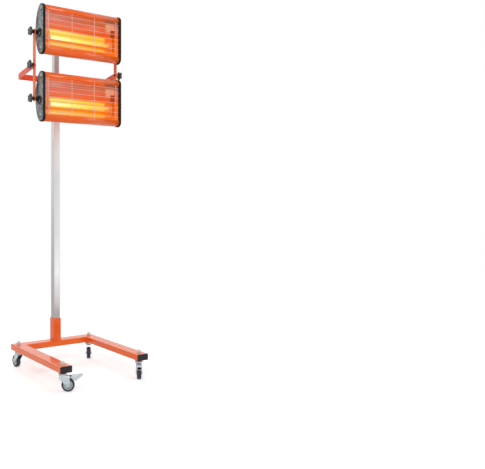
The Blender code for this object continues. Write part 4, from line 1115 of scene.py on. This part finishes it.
def make_yoke():
    pivot = Vector(JOINTS["frame_tilt"]["pos_m"])
    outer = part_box("yoke")[1].x
    front = YOKE_BACK - YOKE_SHEET
    half = YOKE_HEIGHT / 2
    straight = YOKE_BACK - YOKE_BEND
    tip = pivot.y - half - OVERLAP
    bend = YOKE_BEND - YOKE_SHEET
    inner = outer - YOKE_SHEET
    outside = [(outer, tip), *arc((outer - YOKE_BEND, straight), YOKE_BEND, 0, 90, 10)]
    inside = [(inner, tip), *arc((inner - bend, front - bend), bend, 0, 90, 8)]
    strip = bent_strip(outside, inside, CROSSBAR_Z - YOKE_HEIGHT, pivot.z + YOKE_HEIGHT)
    slope = math.degrees(math.atan2(pivot.z - CROSSBAR_Z, straight - pivot.y))
    outline = [
        (YOKE_BACK + OVERLAP, CROSSBAR_Z + half),
        (straight, CROSSBAR_Z + half),
        *arc((pivot.y, pivot.z), half, 90 - slope, 270 - slope, 32),
        (straight, CROSSBAR_Z - half),
        (YOKE_BACK + OVERLAP, CROSSBAR_Z - half),
    ]
    cutter = prism(outline, -outer - OVERLAP, outer + OVERLAP, "X")
    body = "yoke_carriage"
    piece("yoke_bar", cut_by(strip, cutter, "INTERSECT"), SHADED_ORANGE, body, ["yoke"], edge=SHEET_EDGE)
    for side, name in SIDES:
        at = shift(side * YOKE_BOLT_X, front, CROSSBAR_Z)
        place = at @ along((0, -1, 0))
        piece(f"yoke_bolt_{name}", hex_head(*YOKE_BOLT), ZINC, body, place=place, edge=FINE_EDGE)
        nut = moved(hex_head(*YOKE_NUT), shift(0, 0, YOKE_NUT_SEAT))
        end = merged([turned(YOKE_SHANK), nut])
        piece(f"yoke_bolt_end_{name}", end, ZINC, body, place=at @ along((0, 1, 0)))


def make_bracket():
    """The clamp sleeve with its stub and plate."""
    low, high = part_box("yoke_bracket")
    look, body = SHADED_ORANGE, "yoke_carriage"
    sleeve = square_tube(SLEEVE_SIZE, SLEEVE_BORE, (BRACKET_ROUND, MAST_ROUND / 2), low.z, high.z)
    piece("bracket_sleeve", sleeve, look, body, ["yoke_bracket"], AT_MAST, edge=SHEET_EDGE)
    outline = [(x, CROSSBAR_Z + z) for x, z in rounded(high.x - low.x, YOKE_HEIGHT, BRACKET_ROUND)]
    near = YOKE_BACK + GAP
    plate = prism(outline, near, near + YOKE_SHEET, "Y")
    piece("bracket_plate", plate, look, body, edge=SHEET_EDGE)
    top, bottom = CROSSBAR_Z + YOKE_HEIGHT / 2, CROSSBAR_Z - YOKE_HEIGHT / 2
    far = MAST_AT.y - SLEEVE_SIZE / 2
    outline = rectangle(-STUB_HALF, STUB_HALF, bottom, top)
    stub = prism(outline, YOKE_BACK + YOKE_SHEET, far + OVERLAP, "Y")
    piece("bracket_stub", stub, look, body, edge=STUB_EDGE)
    for side, name in SIDES:
        for level, height in (("upper", top), ("lower", bottom)):
            seam = line((side * -STUB_HALF, far, height), (0.0, far, height), 20)
            weld_bead(f"bracket_weld_{level}_{name}", seam, body, look=look)


def make_bars():
    for _, name in SIDES:
        low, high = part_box(f"side_bar_{name}")
        middle = (low + high) / 2
        half = BAR_WIDTH / 2
        reach = (high.z - low.z) / 2 - half
        outline = arc((0, reach), half, 0, 180, 24) + arc((0, -reach), half, 180, 360, 24)
        outline = [(middle.y + y, middle.z + z) for y, z in outline]
        bar = prism(outline, low.x, high.x, "X")
        piece(f"bar_{name}", bar, ORANGE, "lamp_frame", [f"side_bar_{name}"], edge=BAR_EDGE)


# Star knobs


def knob_levels():
    """Heights and insets up the side of a knob's head: a rounded foot, a flat side, a domed top."""
    levels = []
    for step in range(7):
        angle = math.radians(90 * step / 6)
        levels.append((KNOB_EDGE * (1 - math.cos(angle)), KNOB_EDGE * (1 - math.sin(angle))))
    top = [(KNOB_HEAD - height, inset) for height, inset in reversed(levels)]
    return levels + top + [(KNOB_HEAD - KNOB_SINK, KNOB_EDGE + KNOB_DOME)]


def star(steps=120):
    """A knob's lobed head, with the round cap in its top."""
    outline = []
    for step in range(steps):
        angle = math.tau * step / steps
        radius = KNOB_RADIUS - KNOB_LOBE_DEPTH * (1 - math.cos(KNOB_LOBES * angle))
        outline.append((radius * math.cos(angle), radius * math.sin(angle)))
    form = bmesh.new()
    rings = []
    for height, inset in knob_levels():
        share = 1 - inset / KNOB_RADIUS
        rings.append(ring(form, [(x * share, y * share) for x, y in outline], KNOB_NECK + height))
    for lower, upper in zip(rings, rings[1:]):
        wall(form, lower, upper)
    form.faces.new(rings[0])
    form.faces.new(rings[-1])
    head = closed(form)
    cap = turned([(radius, KNOB_HEAD + height) for radius, height in KNOB_CAP])
    return merged([head, moved(cap, shift(0, 0, KNOB_NECK - KNOB_CAP_SEAT))])


def make_knob(joint):
    body = joint["child"]
    node_name = BODIES[body][0]
    seat, axis = Vector(joint["pos_m"]), Vector(joint["axis"])
    inner = min(axis.dot(corner - seat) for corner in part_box(node_name))
    place = Matrix.Translation(seat) @ along(axis)
    piece(f"{node_name}_star", star(), KNOB_GREY, body, place=place, sharp=50)
    tip_radius, tip_height = STUD_TIP
    profile = [*NECK, (STUD_RADIUS, inner + tip_height), (tip_radius, inner), (0, inner)]
    piece(f"{node_name}_neck", turned(profile), BLACK, body, [node_name], place)


# Lamp heads


def pivot_of(level):
    return Vector(JOINTS[f"{level}_head_tilt"]["pos_m"])


HOUSING_LOW, HOUSING_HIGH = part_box("upper_head_housing")
HEAD_TOP = HOUSING_HIGH.z - pivot_of("upper").z
HEAD_BOTTOM = HOUSING_LOW.z - pivot_of("upper").z
HEAD_FRONT = HOUSING_LOW.y - pivot_of("upper").y
HEAD_BACK = HOUSING_HIGH.y - pivot_of("upper").y
CAP_FACES = {
    "left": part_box("upper_head_cap_left")[1].x - CAP_THICKNESS,
    "right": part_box("upper_head_cap_right")[0].x + CAP_THICKNESS,
}
MOUTH_TOP = HEAD_TOP - LIP_HEIGHT
MOUTH_BOTTOM = HEAD_BOTTOM + LIP_HEIGHT


def head_outline(margin=0.0, steps=56):
    """The D of a head, (y, z) from the lower front corner round the back."""
    corner = HEAD_CORNER + margin
    top, bottom = HEAD_TOP + margin, HEAD_BOTTOM - margin
    middle = HEAD_FRONT - margin + corner
    depth = HEAD_BACK + margin - middle
    lower = arc((middle, bottom + corner), corner, 180, 270, 12)
    upper = arc((middle, top - corner), corner, 90, 180, 12)
    back = []
    for step in range(1, steps):
        angle = math.pi * step / steps - math.pi / 2
        back.append((middle + depth * math.cos(angle), HEAD_RISE + (top - HEAD_RISE) * math.sin(angle)))
    return lower + back + upper


def trough(steps=64):
    """The reflector's curve, from its lower edge to its upper one."""
    depth = TROUGH_BACK - TROUGH_FRONT
    points = []
    for step in range(steps + 1):
        share = 2 * step / steps - 1
        points.append((TROUGH_BACK - depth * share * share, TROUGH_Z + TROUGH_MOUTH * share))
    return points


def rod(radius, length, steps=48):
    return turned([(0, length), (radius, length), (radius, 0), (0, 0)], steps)


def on_head(level, name, mesh, look, stands_for=(), place=None, edge=0.0, sharp=35):
    """A piece of one head; its name and the nodes' names are given without the head's."""
    nodes = [f"{level}_{node_name}" for node_name in stands_for]
    return piece(f"{level}_{name}", mesh, look, f"{level}_head", nodes, place, edge, sharp)


def make_housing(level, place):
    """The folded orange shell: its lips turn back into the mouth as a narrow hem."""
    fold = arc((HEAD_FRONT + SHEET, MOUTH_BOTTOM - SHEET), SHEET, 90, 180, 5)
    lower = [(HEAD_FRONT + SHEET + HEM, MOUTH_BOTTOM), *fold]
    upper = [(y, HEAD_RISE * 2 - z) for y, z in reversed(lower)]
    shell = sweep(lower + head_outline() + upper, HOUSING_LOW.x, HOUSING_HIGH.x)
    solid_sheet(on_head(level, "housing", shell, ORANGE, ["head_housing"], place), SHEET)


def make_reflector(level, place):
    look = REFLECTORS[level]
    wing_y = HEAD_FRONT + WING_DEPTH
    path = [(wing_y, MOUTH_BOTTOM - WING_MARGIN), *trough(), (wing_y, MOUTH_TOP + WING_MARGIN)]
    sheet = sweep(path, HOUSING_LOW.x, HOUSING_HIGH.x)
    reflector = on_head(level, "reflector", sheet, look, ["head_reflector"], place, sharp=60)
    solid_sheet(reflector, REFLECTOR_SHEET)
    # End sheets on the caps' inner faces carry the same painted glow as the reflector
    outline = [(y + END_SHEET_BACK, z) for y, z in path]
    for side, end in SIDES:
        faces = sorted((side * END_SHEET_X, side * (END_SHEET_X + END_SHEET)))
        on_head(level, f"end_sheet_{end}", prism(outline, *faces, "X"), look, place=place)


def make_cap(level, side, end, place):
    """An end cap: a rim, a hammered face, the boss at the pivot and the pad beside it, and screws."""
    face = CAP_FACES[end]
    faces = sorted((face - side * CAP_THICKNESS, face - side * CAP_STEP))
    rim = prism(head_outline(CAP_MARGIN), *faces, "X")
    on_head(level, f"cap_rim_{end}", rim, CAP_RIM, [f"head_cap_{end}"], place, SHEET_EDGE)
    faces = sorted((face - side * CAP_FACE_DEPTH, face))
    plate = prism(head_outline(CAP_MARGIN - CAP_FACE_INSET), *faces, "X")
    on_head(level, f"cap_face_{end}", plate, CAP_FACE, place=place, edge=BAR_EDGE)
    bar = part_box(f"side_bar_{end}")
    bar_face = bar[0].x if side > 0 else bar[1].x
    length = abs(bar_face - face) - GAP
    boss = [(BOSS_BORE, length), (BOSS_RADIUS - BOSS_CHAMFER, length)]
    boss += [(BOSS_RADIUS, length - BOSS_CHAMFER), *BOSS_FOOT]
    fittings = [
        ("cap_boss_{}", turned(boss), BLACK, (0, 0, 0)),
        ("cap_pad_{}", turned(PAD), BLACK, (0, PAD_Y, PAD_Z)),
    ]
    for index, (y, z) in enumerate(PAD_SCREWS):
        at = (PAD_DISH, PAD_Y + y, PAD_Z + z)
        fittings.append((f"pad_screw_{{}}_{index}", pan_screw(*PAD_SCREW), SCREW, at))
    below_top, above_bottom = CAP_SCREWS_FROM_ENDS
    for index, z in enumerate((HEAD_TOP - below_top, HEAD_BOTTOM + above_bottom)):
        at = (0, HEAD_FRONT + CAP_SCREW_Y, z)
        fittings.append((f"cap_screw_{{}}_{index}", pan_screw(*CAP_SCREW), SCREW, at))
    for name, mesh, look, (out, y, z) in fittings:
        seat = place @ shift(face + side * out, y, z) @ along((side, 0, 0))
        on_head(level, name.format(end), mesh, look, place=seat)


def make_grille(level, place):
    low, high = HOUSING_LOW.x + GAP, HOUSING_HIGH.x - GAP
    bottom, top = MOUTH_BOTTOM + GAP, MOUTH_TOP - GAP
    row_y = HEAD_FRONT + WIRE_DEPTH
    parts = []
    for row in range(WIRE_ROWS):
        z = HEAD_RISE + WIRE_PITCH * (row - (WIRE_ROWS - 1) / 2)
        parts.append(moved(rod(WIRE, high - low, 12), shift(low, row_y, z) @ along((1, 0, 0))))
    for column in range(WIRE_COLUMNS):
        x = WIRE_COLUMN_PITCH * (column - (WIRE_COLUMNS - 1) / 2)
        parts.append(moved(rod(WIRE, top - bottom, 12), shift(x, row_y - COLUMN_DEPTH, bottom)))
    on_head(level, "grille", merged(parts), WIRES, ["head_grille"], place)


def make_lamp_tube(level, place):
    """The lit tube, and a ceramic with its plate at each end."""
    low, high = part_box(f"{level}_quartz_tube")
    at = place @ shift(low.x, TUBE_Y, TUBE_Z) @ along((1, 0, 0))
    on_head(level, "lit_tube", rod(TUBE_RADIUS, high.x - low.x), QUARTZ, ["quartz_tube"], at)
    share = 1 - HOLDER_MARGIN / TROUGH_MOUTH
    outline = []
    for y, z in trough(32):
        y = TROUGH_FRONT + (y - TROUGH_FRONT) * share - HOLDER_MARGIN
        outline.append((y, TROUGH_Z + (z - TROUGH_Z) * share))
    for side, end in SIDES:
        low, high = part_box(f"{level}_tube_holder_{end}")
        start = low.x if side > 0 else high.x
        seat = place @ shift(start, TUBE_Y, TUBE_Z) @ along((side, 0, 0))
        on_head(level, f"ceramic_{end}", turned(HOLDER), CERAMIC, [f"tube_holder_{end}"], seat)
        middle, half = start + side * HOLDER_LENGTH / 2, HOLDER_SHEET / 2
        plate = prism(outline, middle - half, middle + half, "X")
        on_head(level, f"holder_plate_{end}", plate, HOLDER_PLATE, place=place, edge=FINE_EDGE)


def make_gland(level, place):
    low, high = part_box(f"{level}_head_cable_gland")
    seat = place @ shift((low.x + high.x) / 2, HEAD_BACK + GAP, HEAD_RISE) @ along((0, 1, 0))
    gland = merged([hex_head(*GLAND_FLANGE), turned(GLAND)])
    on_head(level, "gland", gland, BLACK, ["head_cable_gland"], seat)


def make_head(level):
    pivot = pivot_of(level)
    place = shift(0, pivot.y, pivot.z)
    make_housing(level, place)
    make_reflector(level, place)
    for side, end in SIDES:
        make_cap(level, side, end, place)
    make_grille(level, place)
    make_lamp_tube(level, place)
    make_gland(level, place)


# Studio


def straight_rays(tree):
    """1 for camera, glossy and transmission rays, which see the plain background."""
    rays = node(tree, "ShaderNodeLightPath").outputs
    first = calc(tree, "MAXIMUM", rays["Is Camera Ray"], rays["Is Glossy Ray"])
    return calc(tree, "MAXIMUM", first, rays["Is Transmission Ray"])


def either(tree, factor, first, second):
    """One of two shaders by a factor."""
    return node(tree, "ShaderNodeMixShader", {"Fac": factor, 1: first, 2: second}).outputs[0]


def make_world():
    world = bpy.data.worlds.new("studio")
    bpy.context.scene.world = world
    world.use_nodes = True
    tree = world.node_tree
    tree.nodes.clear()
    light = node(tree, "ShaderNodeBackground", {"Color": (1, 1, 1), "Strength": 0.5}).outputs[0]
    seen = node(tree, "ShaderNodeBackground", {"Color": (1, 1, 1), "Strength": 1.0}).outputs[0]
    node(tree, "ShaderNodeOutputWorld", {"Surface": either(tree, straight_rays(tree), light, seen)})


def make_floor():
    """A white floor that keeps the shadow near the lamp and passes into the white background far from it."""
    form = bmesh.new()
    bmesh.ops.create_grid(form, x_segments=1, y_segments=1, size=FLOOR_SIZE)
    mesh = saved(form)
    floor = added("floor", mesh)
    found, tree, shader = tree_of("pale_floor")
    feed(tree, shader, {"Base Color": FLOOR_TONE, "Roughness": 0.8})
    seen = straight_rays(tree)
    place = node(tree, "ShaderNodeTexCoord")
    length = node(tree, "ShaderNodeVectorMath", {0: place.outputs["Object"]}, operation="LENGTH")
    far = smooth(tree, length.outputs["Value"], *FLOOR_FADE)
    white = node(tree, "ShaderNodeEmission", {"Color": (1, 1, 1), "Strength": 1.0}).outputs[0]
    lift = {"Color": (1, 1, 1), "Strength": times(tree, seen, FLOOR_LIFT)}
    lift = node(tree, "ShaderNodeEmission", lift).outputs[0]
    near = node(tree, "ShaderNodeAddShader", {0: shader.outputs[0], 1: lift}).outputs[0]
    surface = either(tree, times(tree, seen, far), near, white)
    feed(tree, tree.nodes["Material Output"], {"Surface": surface})
    mesh.materials.append(found)


def make_light(name, at, size, power):
    light = bpy.data.lights.new(name, "AREA")
    light.shape = "DISK"
    light.size = size
    light.energy = power
    aim = (Vector(LIGHTS_TARGET) - Vector(at)).to_track_quat("-Z", "Y")
    added(name, light).matrix_world = Matrix.Translation(at) @ aim.to_matrix().to_4x4()


def make_camera():
    camera = bpy.data.cameras.new("camera")
    camera.sensor_width = SENSOR
    camera.sensor_fit = "HORIZONTAL"
    camera.lens = FOCAL_PIXELS / IMAGE_WIDTH * SENSOR
    camera.shift_x = (IMAGE_WIDTH / 2 - AXIS_PIXEL[0]) / IMAGE_WIDTH
    camera.shift_y = (AXIS_PIXEL[1] - IMAGE_HEIGHT / 2) / IMAGE_WIDTH
    obj = added("camera", camera)
    obj.location = CAMERA_AT
    obj.rotation_euler = (math.radians(90), 0, math.radians(CAMERA_TURN))
    bpy.context.scene.camera = obj


bpy.context.scene.view_settings.view_transform = "Standard"
make_world()
make_floor()
for name, (at, size, power) in LIGHTS.items():
    make_light(name, at, size, power)
make_camera()
make_stand()
make_casters()
make_mast()
make_yoke()
make_bracket()
make_bars()
for joint in frame["joints"]:
    if joint["name"].endswith("_turn"):
        make_knob(joint)
make_head("upper")
make_head("lower")
